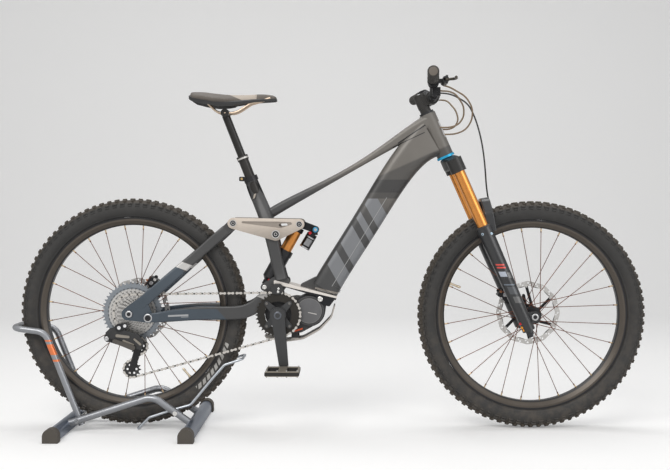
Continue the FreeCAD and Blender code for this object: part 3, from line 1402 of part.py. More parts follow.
def cockpit():
    """Stem, handlebar, grips and the controls clamped beside them."""
    centre = bar_centre()
    steerer = on_steer(-dim.stem_height)
    height = 20
    barrel = cylinder(on_steer(-dim.stem_height + height), on_steer(-dim.stem_height - height),
                      dim.steerer_radius + 4.5)
    neck = Part.makeBox(dim.stem_length, 40, 30, Vector(0, -20, -15))
    neck.Placement = FreeCAD.Placement(
        steerer, FreeCAD.Rotation(steer_forward, AXIS_Y, steer_down * -1, "XYZ"))
    clamp = cross_pin(centre, dim.bar_clamp_radius + 4.5, -24, 24)
    spacers = [cylinder(on_steer(-dim.head_length - 7.2), on_steer(-dim.stem_height + height),
                        dim.steerer_radius + 3)]
    cap = cylinder(on_steer(-dim.stem_height - height), on_steer(-dim.stem_height - height - 5),
                   dim.steerer_radius + 3.5)
    bores = [cylinder(on_steer(0), on_steer(-dim.stem_height - height - 2.5),
                      dim.steerer_radius + 0.02),
             cross_pin(centre, dim.bar_clamp_radius + 0.02, -60, 60)]
    stem = fused([barrel, neck, clamp, cap] + spacers).cut(Part.makeCompound(bores))
    keep_shape("stem", stem)
    half = dim.bar_half_width
    knots = [bar_point(-half), bar_point(-114), bar_point(-46), bar_point(46), bar_point(114),
             bar_point(half)]
    bar = swept_tube(knots, [0, 60, 50, 50, 60, 0], dim.bar_radius)
    zone = 47.0
    sleeve = [cross_pin(centre, dim.bar_clamp_radius, -zone, zone)]
    sleeve += [Part.makeCone(dim.bar_clamp_radius, dim.bar_radius, 14,
                             centre + AXIS_Y * (side * zone), AXIS_Y * side)
               for side in SIDES]
    keep_shape("handlebar", fused([bar] + sleeve))
    grips = []
    for side in SIDES:
        outer = bar_point(side * half)
        start = bar_point(side * (half - dim.grip_length))
        direction = (outer - start).normalize()
        grip = cylinder(start, outer + direction * 2, dim.grip_radius)
        grip = grip.fuse(cylinder(start, start + direction * 12, dim.grip_radius + 2.5))
        grips.append(grip.cut(cylinder(start - direction * 2, outer, dim.bar_radius + 0.02)))
    keep_shape("grips", Part.makeCompound(grips))


def control_side(side):
    """Places on one half of the bar: master cylinder, lever pivot and lever tip."""
    clamp = bar_point(side * 200)
    pivot = clamp + Vector(38, side * 22, 2)
    return clamp, pivot


def controls():
    masters = []
    for side in SIDES:
        clamp, pivot = control_side(side)
        low, high = sorted((side * 192, side * 206))
        ring = cross_tube(clamp, dim.bar_radius + 6, dim.bar_radius + 0.9, low, high)
        arm = Part.makeBox(20, 14, 12, Vector(clamp.x + 10, low, clamp.z - 6))
        body = cylinder(Vector(clamp.x + 34, side * 168, clamp.z - 1),
                        Vector(clamp.x + 34, side * 226, clamp.z + 2), 10)
        tail = cylinder(Vector(clamp.x + 34, side * 168, clamp.z - 1),
                        Vector(clamp.x + 33, side * 148, clamp.z - 2), 5)
        slot = Part.makeBox(26, 22, 7.4, Vector(pivot.x - 10, pivot.y - 11, pivot.z - 3.7))
        bolt = Part.makeCylinder(3, 24, pivot - AXIS_Z * 12, AXIS_Z)
        master = fused([ring, arm, body, tail]).cut(slot).cut(made("handlebar"))
        masters.append(largest(master).fuse(bolt))
    for label, side in (("right_brake_lever", -1), ("left_brake_lever", 1)):
        _, pivot = control_side(side)
        knots = [pivot, pivot + Vector(20, side * 16, 0), pivot + Vector(22, side * 44, -2),
                 pivot + Vector(17, side * 84, -4)]
        blade = swept_tube(knots, [0, 12, 40, 0], 4.2)
        eye = Part.makeCylinder(7, 6.8, pivot - AXIS_Z * 3.4, AXIS_Z)
        web = Part.makeBox(6, 10, 6, pivot + Vector(2, -5, -3))
        lever = fused([blade, eye, web])
        trim = Part.makeBox(40, 40, 20, pivot + Vector(-20, -20, 3.4))
        trim_low = Part.makeBox(40, 40, 20, pivot + Vector(-20, -20, -23.4))
        bore = Part.makeCylinder(3 + dim.running_gap, 30, pivot - AXIS_Z * 15, AXIS_Z)
        near = Part.makeCylinder(12, 60, pivot - AXIS_Z * 30, AXIS_Z)
        trims = Part.makeCompound([trim.common(near), trim_low.common(near), bore])
        keep_shape(label, lever.cut(trims))
    for label, side in (("shift_lever", -1), ("dropper_lever", 1)):
        base = bar_point(side * 165)
        drop = base + Vector(12, 0, -24)
        paddle = hull_plate([(drop.x - 10, drop.z - 12, 6), (drop.x, drop.z, 7)],
                            drop.y - 4, drop.y + 4)
        keep_shape(label, paddle.cut(cross_pin(drop, 2.5 + dim.running_gap,
                                               drop.y - 10, drop.y + 10)))
    pods = []
    for side in SIDES:
        base = bar_point(side * 165)
        drop = base + Vector(12, 0, -24)
        low, high = sorted((side * 150, side * 160.5))
        clamp = bar_point(side * 155)
        ring = cross_tube(clamp, dim.bar_radius + 5, dim.bar_radius + 0.9, low, high)
        box = Part.makeBox(24, 10.5, 26, Vector(base.x - 2, low, base.z - 38))
        pin = cross_pin(drop, 2.5, min(low, drop.y - 6), max(high, drop.y + 6))
        box = box.cut(cross_pin(clamp, dim.bar_radius + 0.9, low, high))
        pods.append(largest(fused([ring, box, pin]).cut(made("handlebar"))))
    keep_shape("bar_controls", Part.makeCompound(masters + pods))


# ---------------------------------------------------------------- hoses and cables

def hose(points, radius=2.5):
    """A hose whose arcs are as large as their runs allow."""
    radii = [0.0] * len(points)
    for index in range(1, len(points) - 1):
        before = points[index] - points[index - 1]
        after = points[index + 1] - points[index]
        reach = 0.45 * min(before.Length, after.Length)
        radii[index] = reach / math.tan(before.getAngle(after) / 2)
    tube = swept_tube(points, radii, radius)
    length = sum(edge.Length for edge in rounded_edges(points, radii))
    print(f"hose {length:.0f} mm, smallest arc {min(radii[1:-1]):.0f} mm, "
          f"volume ratio {tube.Volume / (math.pi * radius ** 2 * length):.4f}")
    return tube


def cables():
    """The front brake's hose, and the lines from the bar into the head tube."""
    clamp, pod = bar_point(200), bar_point(165)
    front = [Vector(clamp.x + 33, 147.6, clamp.z - 2), Vector(clamp.x + 34, 116, clamp.z - 3),
             Vector(clamp.x + 50, 76, clamp.z - 4), Vector(clamp.x + 82, 46, clamp.z - 12),
             Vector(430, 32, 1022), Vector(452, 27, 975), Vector(468, 24, 920),
             Vector(478, 24, 866), Vector(484, 26, 812), Vector(488, 32, 764),
             Vector(496, 46, 722), Vector(510, 60, 686), Vector(528, 75, 650)]
    keep_shape("front_brake_hose", hose(front))
    lines = [
        [Vector(clamp.x + 33, -147.6, clamp.z - 2), Vector(clamp.x + 36, -118, clamp.z - 3),
         Vector(clamp.x + 60, -84, clamp.z - 4), Vector(412, -58, 1034), Vector(434, -44, 1000),
         Vector(434, -32, 964), Vector(415, -23, 934), Vector(383, -15, 922),
         on_steer(-67, 22) - AXIS_Y * 8],
        [Vector(pod.x + 20, -150, pod.z - 22), Vector(pod.x + 34, -126, pod.z - 20),
         Vector(pod.x + 54, -98, pod.z - 18), Vector(pod.x + 78, -72, pod.z - 24),
         Vector(406, -50, 1006), Vector(408, -36, 974), Vector(392, -28, 950),
         Vector(364, -22, 942), on_steer(-93, 16.5) - AXIS_Y * 16],
        [Vector(pod.x + 20, 150, pod.z - 22), Vector(pod.x + 34, 124, pod.z - 22),
         Vector(pod.x + 50, 94, pod.z - 24), Vector(pod.x + 66, 64, pod.z - 30),
         Vector(392, 38, 1000), Vector(398, 22, 970), Vector(386, 16, 946),
         Vector(362, 15, 938), on_steer(-90, 17) + AXIS_Y * 14],
    ]
    carriers = made("main_frame").fuse(made("bar_controls"))
    keep_shape("control_cables",
               Part.makeCompound([largest(hose(points).cut(carriers)) for points in lines]))


# ---------------------------------------------------------------- display stand

def foot_outline(margin):
    """A round-topped bar section, as expressions, grown by a margin."""
    half = f"(Dims.foot_width / 2 + {margin})"
    low = f"(Dims.cap_wall - {margin})"
    spring = "(Dims.cap_wall + Dims.foot_height - Dims.foot_width / 2)"
    return ((f"-{half}", low), (half, low),
            (half, spring, "0", f"{spring} + {half}"), (f"-{half}", spring))


def foot_bars():
    """Two hollow cross bars that lie on the floor."""
    bars = doc.addObject("Part::Compound", "foot_bars")
    bars.Links = [extruded(name, "2 * Dims.foot_half_length", foot_outline("0"),
                           foot_outline("-Dims.foot_wall"), centre=(place_x, "0", "0"))
                  for name, place_x in (("rear_foot", "Dims.foot_rear_x"),
                                        ("front_foot", "Dims.foot_front_x"))]
    keep("foot_bars", bars)


def foot_face(margin, y):
    """The same section as a face at y, for the caps and for the tubes' mitred ends."""
    half = dim.foot_width / 2 + margin
    low = dim.cap_wall - margin
    spring = dim.cap_wall + dim.foot_height - dim.foot_width / 2
    sides = [Vector(-half, y, spring), Vector(-half, y, low), Vector(half, y, low),
             Vector(half, y, spring)]
    edges = [Part.makeLine(sides[i], sides[i + 1]) for i in range(3)]
    edges.append(Part.Arc(sides[3], Vector(0, y, spring + half), sides[0]).toShape())
    return Part.Face(Part.Wire(edges))


def foot_caps():
    caps = []
    for x in (dim.foot_rear_x, dim.foot_front_x):
        for side in SIDES:
            end = side * dim.foot_half_length
            outside = end + side * dim.cap_wall
            low, high = sorted((outside, outside - side * dim.cap_length))
            cap = foot_face(dim.cap_wall, low).extrude(Vector(0, high - low, 0))
            low, high = sorted((end, end - side * dim.cap_length))
            hollow = foot_face(0.05, low).extrude(Vector(0, high - low, 0))
            cap = cap.cut(hollow)
            cap.translate(Vector(x, 0, 0))
            caps.append(cap)
    keep_shape("foot_end_caps", Part.makeCompound(caps))


def side_tube_points(side):
    y = side * dim.side_tube_y
    middle = dim.cap_wall + dim.foot_height / 2
    return [Vector(dim.foot_rear_x, y, middle), Vector(dim.side_peak_x, y, dim.side_peak_z),
            Vector(dim.foot_front_x, y, middle)]


def on_side_tube(x):
    """The height of a side tube's middle line."""
    rear, peak, front = side_tube_points(1)
    start, end = (rear, peak) if x < peak.x else (peak, front)
    return start.z + (end.z - start.z) * (x - start.x) / (end.x - start.x)


hoop_pivot = Vector(dim.hoop_pivot_x, 0, on_side_tube(dim.hoop_pivot_x))
cradle_pivot = Vector(dim.cradle_pivot_x, 0, on_side_tube(dim.cradle_pivot_x))


def stand():
    foot_bars()
    foot_caps()
    bars = []
    for x in (dim.foot_rear_x, dim.foot_front_x):
        bar = foot_face(0, -150).extrude(Vector(0, 300, 0))
        bar.translate(Vector(x, 0, 0))
        bars.append(bar)
    bolt = dim.stand_bolt_radius
    bores = [cross_pin(item, bolt + 0.02, -100, 100) for item in (hoop_pivot, cradle_pivot)]
    tubes = []
    for side in SIDES:
        tube = swept_tube(side_tube_points(side), [0, 55, 0], dim.side_tube_radius)
        tubes.append(tube.cut(Part.makeCompound(bars + bores)))
    keep_shape("side_tubes", Part.makeCompound(tubes))
    outer = dim.side_tube_y + dim.side_tube_radius
    rod = [cross_pin(hoop_pivot, bolt, -outer - 3, outer + 3)]
    for side in SIDES:
        low, high = sorted((side * outer, side * (outer + 5)))
        rod.append(cross_pin(hoop_pivot, 7, low, high))
    rod.append(cross_pin(hoop_pivot, 6.5, -44, 44))
    bolts = [fused(rod)]
    for side in SIDES:
        low, high = sorted((side * (outer + 5), side * 54))
        head_low, head_high = sorted((side * outer, side * (outer + 5)))
        bolts.append(fused([cross_pin(cradle_pivot, bolt, low, high),
                            cross_pin(cradle_pivot, 7, head_low, head_high)]))
    keep_shape("stand_bolts", Part.makeCompound(bolts))
    rear_hoop()
    wheel_cradle()


def rear_hoop():
    """A bent tube from one side tube up, round behind the tyre and down again."""
    radius = dim.hoop_radius
    leg_y = dim.side_tube_y - dim.side_tube_radius - radius - 0.5
    back_x = rear_axle.x - dim.wheel_radius - radius - 2
    bend_x = dim.hoop_pivot_x - 106
    top = dim.hoop_top_z
    points = [Vector(hoop_pivot.x + 7, -leg_y, hoop_pivot.z - 18),
              Vector(bend_x, -leg_y, top - 12), Vector(back_x, -leg_y + 4, top),
              Vector(back_x, leg_y - 4, top), Vector(bend_x, leg_y, top - 12),
              Vector(hoop_pivot.x + 7, leg_y, hoop_pivot.z - 18)]
    tube = swept_tube(points, [0, 42, 32, 32, 42, 0], radius, radius - 2)
    tube = tube.cut(cross_pin(hoop_pivot, dim.stand_bolt_radius + 0.2, -100, 100))
    keep_shape("rear_hoop", tube)


def wheel_cradle():
    """A bent rod that tips under the wheel and closes on the tyre's front."""
    rod = dim.cradle_rod_radius
    pivot_y = dim.side_tube_y - dim.side_tube_radius - rod - 3
    top_y = dim.tyre_width / 2 + rod + 6
    pivot = cradle_pivot
    front = rear_axle + Vector(346, 0, -144)
    reach = dim.wheel_radius + rod + 0.3
    side = [
        (Vector(rear_axle.x + 20, 0, rear_axle.z - math.sqrt(reach ** 2 - 20 ** 2)), pivot_y),
        (Vector(rear_axle.x + 56, 0, rod + 36), pivot_y),
        (Vector(pivot.x - 22, 0, pivot.z + 2), pivot_y),
        (Vector(pivot.x + 43, 0, pivot.z + 20), pivot_y),
        (Vector(pivot.x + 109, 0, pivot.z + 100), top_y + 6),
        (Vector(pivot.x + 147, 0, pivot.z + 143), top_y),
        (front, top_y),
    ]
    near = [Vector(point.x, -y, point.z) for point, y in side]
    far = [Vector(point.x, y, point.z) for point, y in side]
    points = near + far[::-1]
    bends = [12, 14, 30, 24, 30, 16, 14]
    ring = rounded_edges(points, bends + bends[::-1], closed=True)
    path = Part.Wire(Part.__sortEdges__(ring))
    start = path.OrderedEdges[0]
    direction = start.tangentAt(start.FirstParameter)
    profile = Part.Wire(Part.makeCircle(rod, start.valueAt(start.FirstParameter), direction))
    shape = path.makePipeShell([profile], True, True)
    eyes = []
    for sign in SIDES:
        low, high = sorted((sign * (pivot_y - rod), sign * (pivot_y + rod)))
        eyes.append(cross_pin(pivot, 9, low, high))
    bores = cross_pin(pivot, dim.stand_bolt_radius + 0.15, -100, 100)
    keep_shape("wheel_cradle", fused([shape] + eyes).cut(bores))


# ---------------------------------------------------------------- build

wheels()
chain()
cassette()
pulleys()
derailleur()
crank_set()
main_frame()
battery_pack()
drive_unit()
motor_bracket()
bash_guard()
seat_parts()
chain_stays()
seat_stays()
rear_axle_parts()
rocker()
shock()
headset()
fork_upper()
fork_lowers()
cockpit()
controls()
cables()
stand()
doc.recompute()

for item in doc.Objects:
    if "Invalid" in item.State or "Error" in item.State:
        raise RuntimeError(f"{item.Label} failed: {item.State}")
os.makedirs("parts", exist_ok=True)
for part in parts:
    shape = part.Shape
    if shape.isNull() or not shape.isValid() or not shape.Solids:
        raise RuntimeError(f"{part.Label} has no valid solid")
    shape.exportStep(f"parts/{part.Label}.step")
    print(f"{part.Label}: {len(shape.Solids)} solids, {shape.Volume / 1000:.1f} cm3")
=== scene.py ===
"""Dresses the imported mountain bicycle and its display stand: finishes, tyres, saddle and stage."""
import json
import math

import bmesh
import bpy
from bpy.props import (FloatProperty, FloatVectorProperty, IntProperty, PointerProperty)
from mathutils import Matrix, Vector
from mathutils.bvhtree import BVHTree


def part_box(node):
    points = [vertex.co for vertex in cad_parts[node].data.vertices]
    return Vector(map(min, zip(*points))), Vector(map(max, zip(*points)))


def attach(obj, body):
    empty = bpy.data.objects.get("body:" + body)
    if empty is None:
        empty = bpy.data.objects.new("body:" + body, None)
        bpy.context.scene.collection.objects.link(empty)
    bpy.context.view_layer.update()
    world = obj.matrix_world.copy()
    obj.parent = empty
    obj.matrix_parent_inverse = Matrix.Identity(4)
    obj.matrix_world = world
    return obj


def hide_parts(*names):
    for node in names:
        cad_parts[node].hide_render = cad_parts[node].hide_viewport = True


bl_info = {
    "name": "Bicycle on Stand",
    "version": (1, 0, 0),
    "blender": (4, 5, 0),
    "location": "View3D > Sidebar > Bicycle",
    "description": "Finishes, tyres, saddle, small fittings and stage for a bicycle on its stand",
    "category": "Object",
}

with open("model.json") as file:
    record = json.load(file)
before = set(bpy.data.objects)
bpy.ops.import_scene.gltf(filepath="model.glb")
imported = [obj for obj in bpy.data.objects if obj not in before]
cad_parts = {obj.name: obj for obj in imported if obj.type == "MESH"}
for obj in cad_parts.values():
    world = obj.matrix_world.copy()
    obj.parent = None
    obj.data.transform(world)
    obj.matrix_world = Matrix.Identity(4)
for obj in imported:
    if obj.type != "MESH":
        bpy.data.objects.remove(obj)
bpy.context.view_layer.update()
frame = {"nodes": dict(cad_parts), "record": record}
# each side's name, and which way along y it lies
SIDES = (("right", -1.0), ("left", 1.0))
NEAR = (0.0, -1.0, 0.0)
AHEAD, ACROSS, UP = (1.0, 0.0, 0.0), (0.0, 1.0, 0.0), (0.0, 0.0, 1.0)
AXIS_Y = Vector(ACROSS)
ALL_SMOOTH = 180.0
WHITE = (1.0, 1.0, 1.0, 1.0)


# ------------------------------------------------------------------ places read from the frame

def box_centre(node):
    low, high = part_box(node)
    return (Vector(low) + Vector(high)) / 2


def box_size(node):
    low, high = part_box(node)
    return Vector(high) - Vector(low)


REAR_AXLE = box_centre("rear_tyre")
FRONT_AXLE = box_centre("front_tyre")
WHEEL_RADIUS = box_size("front_tyre").x / 2
RIM_EDGE = box_size("front_rim").x / 2
JOINTS = {joint["name"]: joint for joint in frame["record"]["behaviour"]["joints"]}


def pivot(joint):
    return Vector(JOINTS[joint]["pos_m"])


# ------------------------------------------------------------------ mesh helpers

def add_object(name, data):
    """A new object in the scene."""
    obj = bpy.data.objects.new(name, data)
    bpy.context.scene.collection.objects.link(obj)
    return obj


def mesh_from(bm, name):
    """Ends a bmesh as a mesh."""
    mesh = bpy.data.meshes.new(name)
    bm.to_mesh(mesh)
    bm.free()
    return mesh


def put_on(obj, material):
    """Gives an object one material in place of what it has."""
    obj.data.materials.clear()
    obj.data.materials.append(material)


def shade(obj, angle=35.0):
    """Smooth shading; edges sharper than the angle stay sharp."""
    mesh = obj.data
    mesh.polygons.foreach_set("use_smooth", [True] * len(mesh.polygons))
    if angle < ALL_SMOOTH:
        mesh.set_sharp_from_angle(angle=math.radians(angle))


def piece_from(bm, name, body, material, replaces=(), angle=35.0):
    """Turns a bmesh into a piece that rides on a body and wears a material."""
    bmesh.ops.recalc_face_normals(bm, faces=bm.faces)
    obj = add_object(name, mesh_from(bm, name))
    obj.data.materials.append(material)
    shade(obj, angle)
    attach(obj, body)
    if replaces:
        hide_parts(*replaces)
    return obj


def grid_faces(bm, rings, closed_rings=True, closed_sections=True):
    """Skins a list of vertex rings."""
    count = len(rings)
    size = len(rings[0])
    for i in range(count if closed_rings else count - 1):
        for j in range(size if closed_sections else size - 1):
            a, b = rings[i], rings[(i + 1) % count]
            bm.faces.new((a[j], a[(j + 1) % size], b[(j + 1) % size], b[j]))


def wheel_ring(bm, profile, centre, segments):
    """Turns a closed (radius, y) outline about a wheel's axle."""
    rings = []
    for i in range(segments):
        angle = 2 * math.pi * i / segments
        rings.append([bm.verts.new(centre + Vector((radius * math.cos(angle), y,
                                                    radius * math.sin(angle))))
                      for radius, y in profile])
    grid_faces(bm, rings)


def turning_axes(axis):
    """An axis of length one, and two directions square to it."""
    axis = Vector(axis).normalized()
    side = axis.orthogonal().normalized()
    return axis, side, axis.cross(side)


def turned_rings(bm, profile, start, axis, segments):
    """The points of an (along, radius) outline at each step of a turn about an axis."""
    axis, side, across = turning_axes(axis)
    start = Vector(start)
    rings = []
    for i in range(segments):
        angle = 2 * math.pi * i / segments
        out = side * math.cos(angle) + across * math.sin(angle)
        rings.append([bm.verts.new(start + axis * along + out * radius)
                      for along, radius in profile])
    return rings


def cap_rings(bm, rings):
    """Closes both ends of a skinned row of rings."""
    bm.faces.new(rings[0][::-1])
    bm.faces.new(rings[-1])


def lathe(bm, profile, start, axis, segments=24):
    """Turns an open (along, radius) outline about an axis and closes both ends."""
    rings = turned_rings(bm, profile, start, axis, segments)
    grid_faces(bm, rings, closed_sections=False)
    bm.faces.new([ring[0] for ring in rings])
    bm.faces.new([ring[-1] for ring in rings])


def block(bm, centre, axes, size, taper=0.86, bevel=0.12):
    """A moulded block: tapered towards its top, with its top edges broken."""
    u, v, n = axes
    rings = []
    for height, scale in ((-0.5, 1.0), (0.5 - bevel, taper + (1 - taper) * bevel),
                          (0.5, taper - bevel)):
        rings.append([bm.verts.new(centre + u * (size[0] * 0.5 * scale * a)
                                   + v * (size[1] * 0.5 * scale * b) + n * (size[2] * height))
                      for a, b in ((-1, -1), (1, -1), (1, 1), (-1, 1))])
    grid_faces(bm, rings, closed_rings=False)
    bm.faces.new(rings[-1])
    bm.faces.new(rings[0][::-1])


# ------------------------------------------------------------------ shader groups

def new_group(name, inputs, outputs):
    """An empty shader node group with named sockets."""
    group = bpy.data.node_groups.new(name, "ShaderNodeTree")
    for label, kind, default in inputs:
        socket = group.interface.new_socket(label, in_out="INPUT", socket_type=kind)
        if default is not None:
            socket.default_value = default
    for label, kind in outputs:
        group.interface.new_socket(label, in_out="OUTPUT", socket_type=kind)
    source = group.nodes.new("NodeGroupInput")
    target = group.nodes.new("NodeGroupOutput")
    return group, source, target


class Tree:
    """Short words for adding and joining nodes in a tree."""

    def __init__(self, tree):
        self.tree = tree

    def node(self, kind, settings=(), **inputs):
        made = self.tree.nodes.new(kind)
        for key, value in dict(settings).items():
            setattr(made, key, value)
        for key, value in inputs.items():
            self.feed(made, key.replace("_", " "), value)
        return made

    def feed(self, node, key, value):
        """Links a socket to an input, or sets the input to a value."""
        socket = node.inputs[int(key)] if str(key).isdigit() else node.inputs[key]
        if isinstance(value, bpy.types.NodeSocket):
            self.tree.links.new(value, socket)
        elif isinstance(value, (tuple, list)) and len(value) == 3 and len(
                getattr(socket, "default_value", (0, 0, 0))) == 4:
            socket.default_value = (*value, 1.0)
        else:
            socket.default_value = value

    def math(self, operation, *values, clamp=False):
        node = self.node("ShaderNodeMath", {"operation": operation, "use_clamp": clamp})
        for index, value in enumerate(values):
            self.feed(node, index, value)
        return node.outputs[0]

    def times(self, first, second):
        return self.math("MULTIPLY", first, second)

    def plus(self, first, second):
        return self.math("ADD", first, second)

    def most(self, first, second):
        return self.math("MAXIMUM", first, second)

    def size(self, value):
        """A value without its sign."""
        return self.math("ABSOLUTE", value)

    def inverse(self, mask):
        return self.math("SUBTRACT", 1.0, mask)

    def mix(self, mask, low, high):
        node = self.node("ShaderNodeMix", {"data_type": "RGBA"})
        self.feed(node, 0, mask)
        self.feed(node, 6, low)
        self.feed(node, 7, high)
        return node.outputs[2]

    def blend_value(self, mask, low, high):
        node = self.node("ShaderNodeMix", {"data_type": "FLOAT"})
        self.feed(node, 0, mask)
        self.feed(node, 2, low)
        self.feed(node, 3, high)
        return node.outputs[0]

    def noise(self, vector, scale, detail=2.0, roughness=0.5):
        node = self.node("ShaderNodeTexNoise", Vector=vector, Scale=scale, Detail=detail,
                         Roughness=roughness)
        return node.outputs[0]

    def place(self):
        return self.node("ShaderNodeTexCoord").outputs["Object"]

    def along(self, vector, direction, offset=0.0):
        """Distance of a point along a direction, less an offset."""
        node = self.node("ShaderNodeVectorMath", {"operation": "DOT_PRODUCT"})
        self.feed(node, 0, vector)
        self.feed(node, 1, tuple(direction))
        return self.math("SUBTRACT", node.outputs["Value"], offset)

    def from_point(self, vector, direction, point):
        """Distance of a point along a direction, counted from another point."""
        return self.along(vector, direction, point.dot(direction))

    def above(self, value, edge=0.0, soft=0.0004):
        """A mask that is 1 where a value lies above an edge."""
        node = self.node("ShaderNodeMapRange", {"interpolation_type": "SMOOTHSTEP"})
        self.feed(node, 0, value)
        self.feed(node, 1, edge - soft)
        self.feed(node, 2, edge + soft)
        return node.outputs[0]

    def below(self, value, edge=0.0, soft=0.0004):
        return self.inverse(self.above(value, edge, soft))

    def between(self, value, low, high, soft=0.0004):
        return self.times(self.above(value, low, soft), self.below(value, high, soft))

    def angle(self, vector, centre):
        """Angle about a line along Y through a point, from the front upwards."""
        return self.math("ARCTAN2", self.along(vector, UP, centre[2]),
                         self.along(vector, AHEAD, centre[0]))

    def radius(self, vector, centre):
        """Distance from a line along Y through a point."""
        node = self.node("ShaderNodeVectorMath", {"operation": "SUBTRACT"})
        self.feed(node, 0, vector)
        self.feed(node, 1, tuple(centre))
        flat = self.node("ShaderNodeVectorMath", {"operation": "MULTIPLY"})
        self.feed(flat, 0, node.outputs[0])
        self.feed(flat, 1, (1.0, 0.0, 1.0))
        length = self.node("ShaderNodeVectorMath", {"operation": "LENGTH"})
        self.feed(length, 0, flat.outputs[0])
        return length.outputs["Value"]


SURFACE_OUTPUTS = (("Colour", "NodeSocketColor"), ("Roughness", "NodeSocketFloat"),
                   ("Normal", "NodeSocketVector"))


def feed_surface(tree, source, target, gain, shift, height, depth):
    """A group's outputs: a scaled colour, a shifted roughness and a bump of some depth."""
    tint = tree.node("ShaderNodeVectorMath", {"operation": "SCALE"})
    tree.feed(tint, 0, source.outputs["Colour"])
    tree.feed(tint, "Scale", gain)
    tree.feed(target, "Colour", tint.outputs[0])
    rough = tree.math("ADD", source.outputs["Roughness"],
                      tree.times(shift, source.outputs["Spread"]), clamp=True)
    tree.feed(target, "Roughness", rough)
    bump = tree.node("ShaderNodeBump", Strength=source.outputs["Bump"], Distance=depth,
                     Height=height)
    tree.feed(target, "Normal", bump.outputs[0])


def surface_group():
    """Colour drift, uneven gloss and a fine bump for a plain surface."""
    group, source, target = new_group(
        "Surface grain",
        (("Colour", "NodeSocketColor", (0.5, 0.5, 0.5, 1)), ("Drift", "NodeSocketFloat", 0.1),
         ("Roughness", "NodeSocketFloat", 0.5), ("Spread", "NodeSocketFloat", 0.08),
         ("Grain size", "NodeSocketFloat", 900.0), ("Bump", "NodeSocketFloat", 0.1)),
        SURFACE_OUTPUTS)
    tree = Tree(group)
    place = tree.place()
    patches = tree.noise(place, 14.0, 4.0, 0.6)
    fine = tree.noise(place, source.outputs["Grain size"], 2.0)
    shift = tree.math("SUBTRACT", patches, 0.5)
    speck = tree.times(tree.math("SUBTRACT", fine, 0.5), 0.6)
    swing = tree.times(tree.plus(shift, speck), source.outputs["Drift"])
    gain = tree.plus(1.0, tree.times(swing, 2.0))
    feed_surface(tree, source, target, gain, shift, fine, 0.0004)
    return group


def brushed_group():
    """Fine turned or drawn lines for bare metal: streaks squeezed along one direction."""
    group, source, target = new_group(
        "Brushed lines",
        (("Colour", "NodeSocketColor", (0.6, 0.6, 0.6, 1)), ("Stretch", "NodeSocketVector", None),
         ("Roughness", "NodeSocketFloat", 0.3), ("Spread", "NodeSocketFloat", 0.15),
         ("Bump", "NodeSocketFloat", 0.1)),
        SURFACE_OUTPUTS)
    tree = Tree(group)
    squeezed = tree.node("ShaderNodeVectorMath", {"operation": "MULTIPLY"})
    tree.feed(squeezed, 0, tree.place())
    tree.feed(squeezed, 1, source.outputs["Stretch"])
    lines = tree.noise(squeezed.outputs[0], 1.0, 3.0, 0.65)
    shift = tree.math("SUBTRACT", lines, 0.5)
    gain = tree.plus(1.0, tree.times(shift, 0.35))
    feed_surface(tree, source, target, gain, shift, lines, 0.0002)
    return group


def dust_group():
    """A thin film of dry dust, thicker low down and in patches."""
    group, source, target = new_group(
        "Dust film",
        (("Colour", "NodeSocketColor", (0.5, 0.5, 0.5, 1)),
         ("Dust", "NodeSocketColor", (0.30, 0.25, 0.19, 1)), ("Amount", "NodeSocketFloat", 0.2),
         ("Top", "NodeSocketFloat", 0.6)),
        (("Colour", "NodeSocketColor"),))
    tree = Tree(group)
    place = tree.place()
    patches = tree.above(tree.noise(place, 34.0, 5.0, 0.62), 0.5, 0.16)
    height = tree.node("ShaderNodeSeparateXYZ", Vector=place).outputs["Z"]
    low = tree.math("SUBTRACT", 1.0, tree.math("DIVIDE", height, source.outputs["Top"]),
                    clamp=True)
    mask = tree.math("MULTIPLY", tree.times(patches, low), source.outputs["Amount"], clamp=True)
    tree.feed(target, "Colour", tree.mix(mask, source.outputs["Colour"], source.outputs["Dust"]))
    return group


GROUPS = {}


def shared(name):
    """A shared node group, made the first time that it is asked for."""
    if name not in GROUPS:
        GROUPS[name] = {"grain": surface_group, "brushed": brushed_group,
                        "dust": dust_group}[name]()
    return GROUPS[name]


class Finish(Tree):
    """A material around one Principled BSDF."""

    def __init__(self, name, **constants):
        self.material = bpy.data.materials.new(name)
        self.material.use_nodes = True
        super().__init__(self.material.node_tree)
        self.tree.nodes.clear()
        self.surface = self.tree.nodes.new("ShaderNodeBsdfPrincipled")
        output = self.tree.nodes.new("ShaderNodeOutputMaterial")
        self.tree.links.new(self.surface.outputs[0], output.inputs[0])
        for key, value in constants.items():
            self.surface.inputs[key.replace("_", " ")].default_value = value

    def group(self, name, **inputs):
        node = self.tree.nodes.new("ShaderNodeGroup")
        node.node_tree = shared(name)
        for key, value in inputs.items():
            self.feed(node, key.replace("_", " "), value)
        return node

    def wear(self, node):
        """Joins a group's colour, roughness and normal to the shader."""
        self.feed(self.surface, "Base Color", node.outputs["Colour"])
        self.feed(self.surface, "Roughness", node.outputs["Roughness"])
        self.feed(self.surface, "Normal", node.outputs["Normal"])
        return self.material

    def grained(self, colour, drift, roughness, spread, grain, bump):
        """Ends the material as a painted, moulded or cast surface."""
        return self.wear(self.group("grain", Colour=colour, Drift=drift, Roughness=roughness,
                                    Spread=spread, Grain_size=grain, Bump=bump))

    def brushed(self, colour, stretch, roughness, spread, bump):
        """Ends the material as metal with drawn lines."""
        return self.wear(self.group("brushed", Colour=colour, Stretch=stretch,
                                    Roughness=roughness, Spread=spread, Bump=bump))


def plain_finish(name, colour, roughness, drift=0.12, spread=0.1, grain=900.0, bump=0.1,
                 **constants):
    """Paint, plastic or rubber of one colour with its own grain."""
    return Finish(name, **constants).grained(colour, drift, roughness, spread, grain, bump)


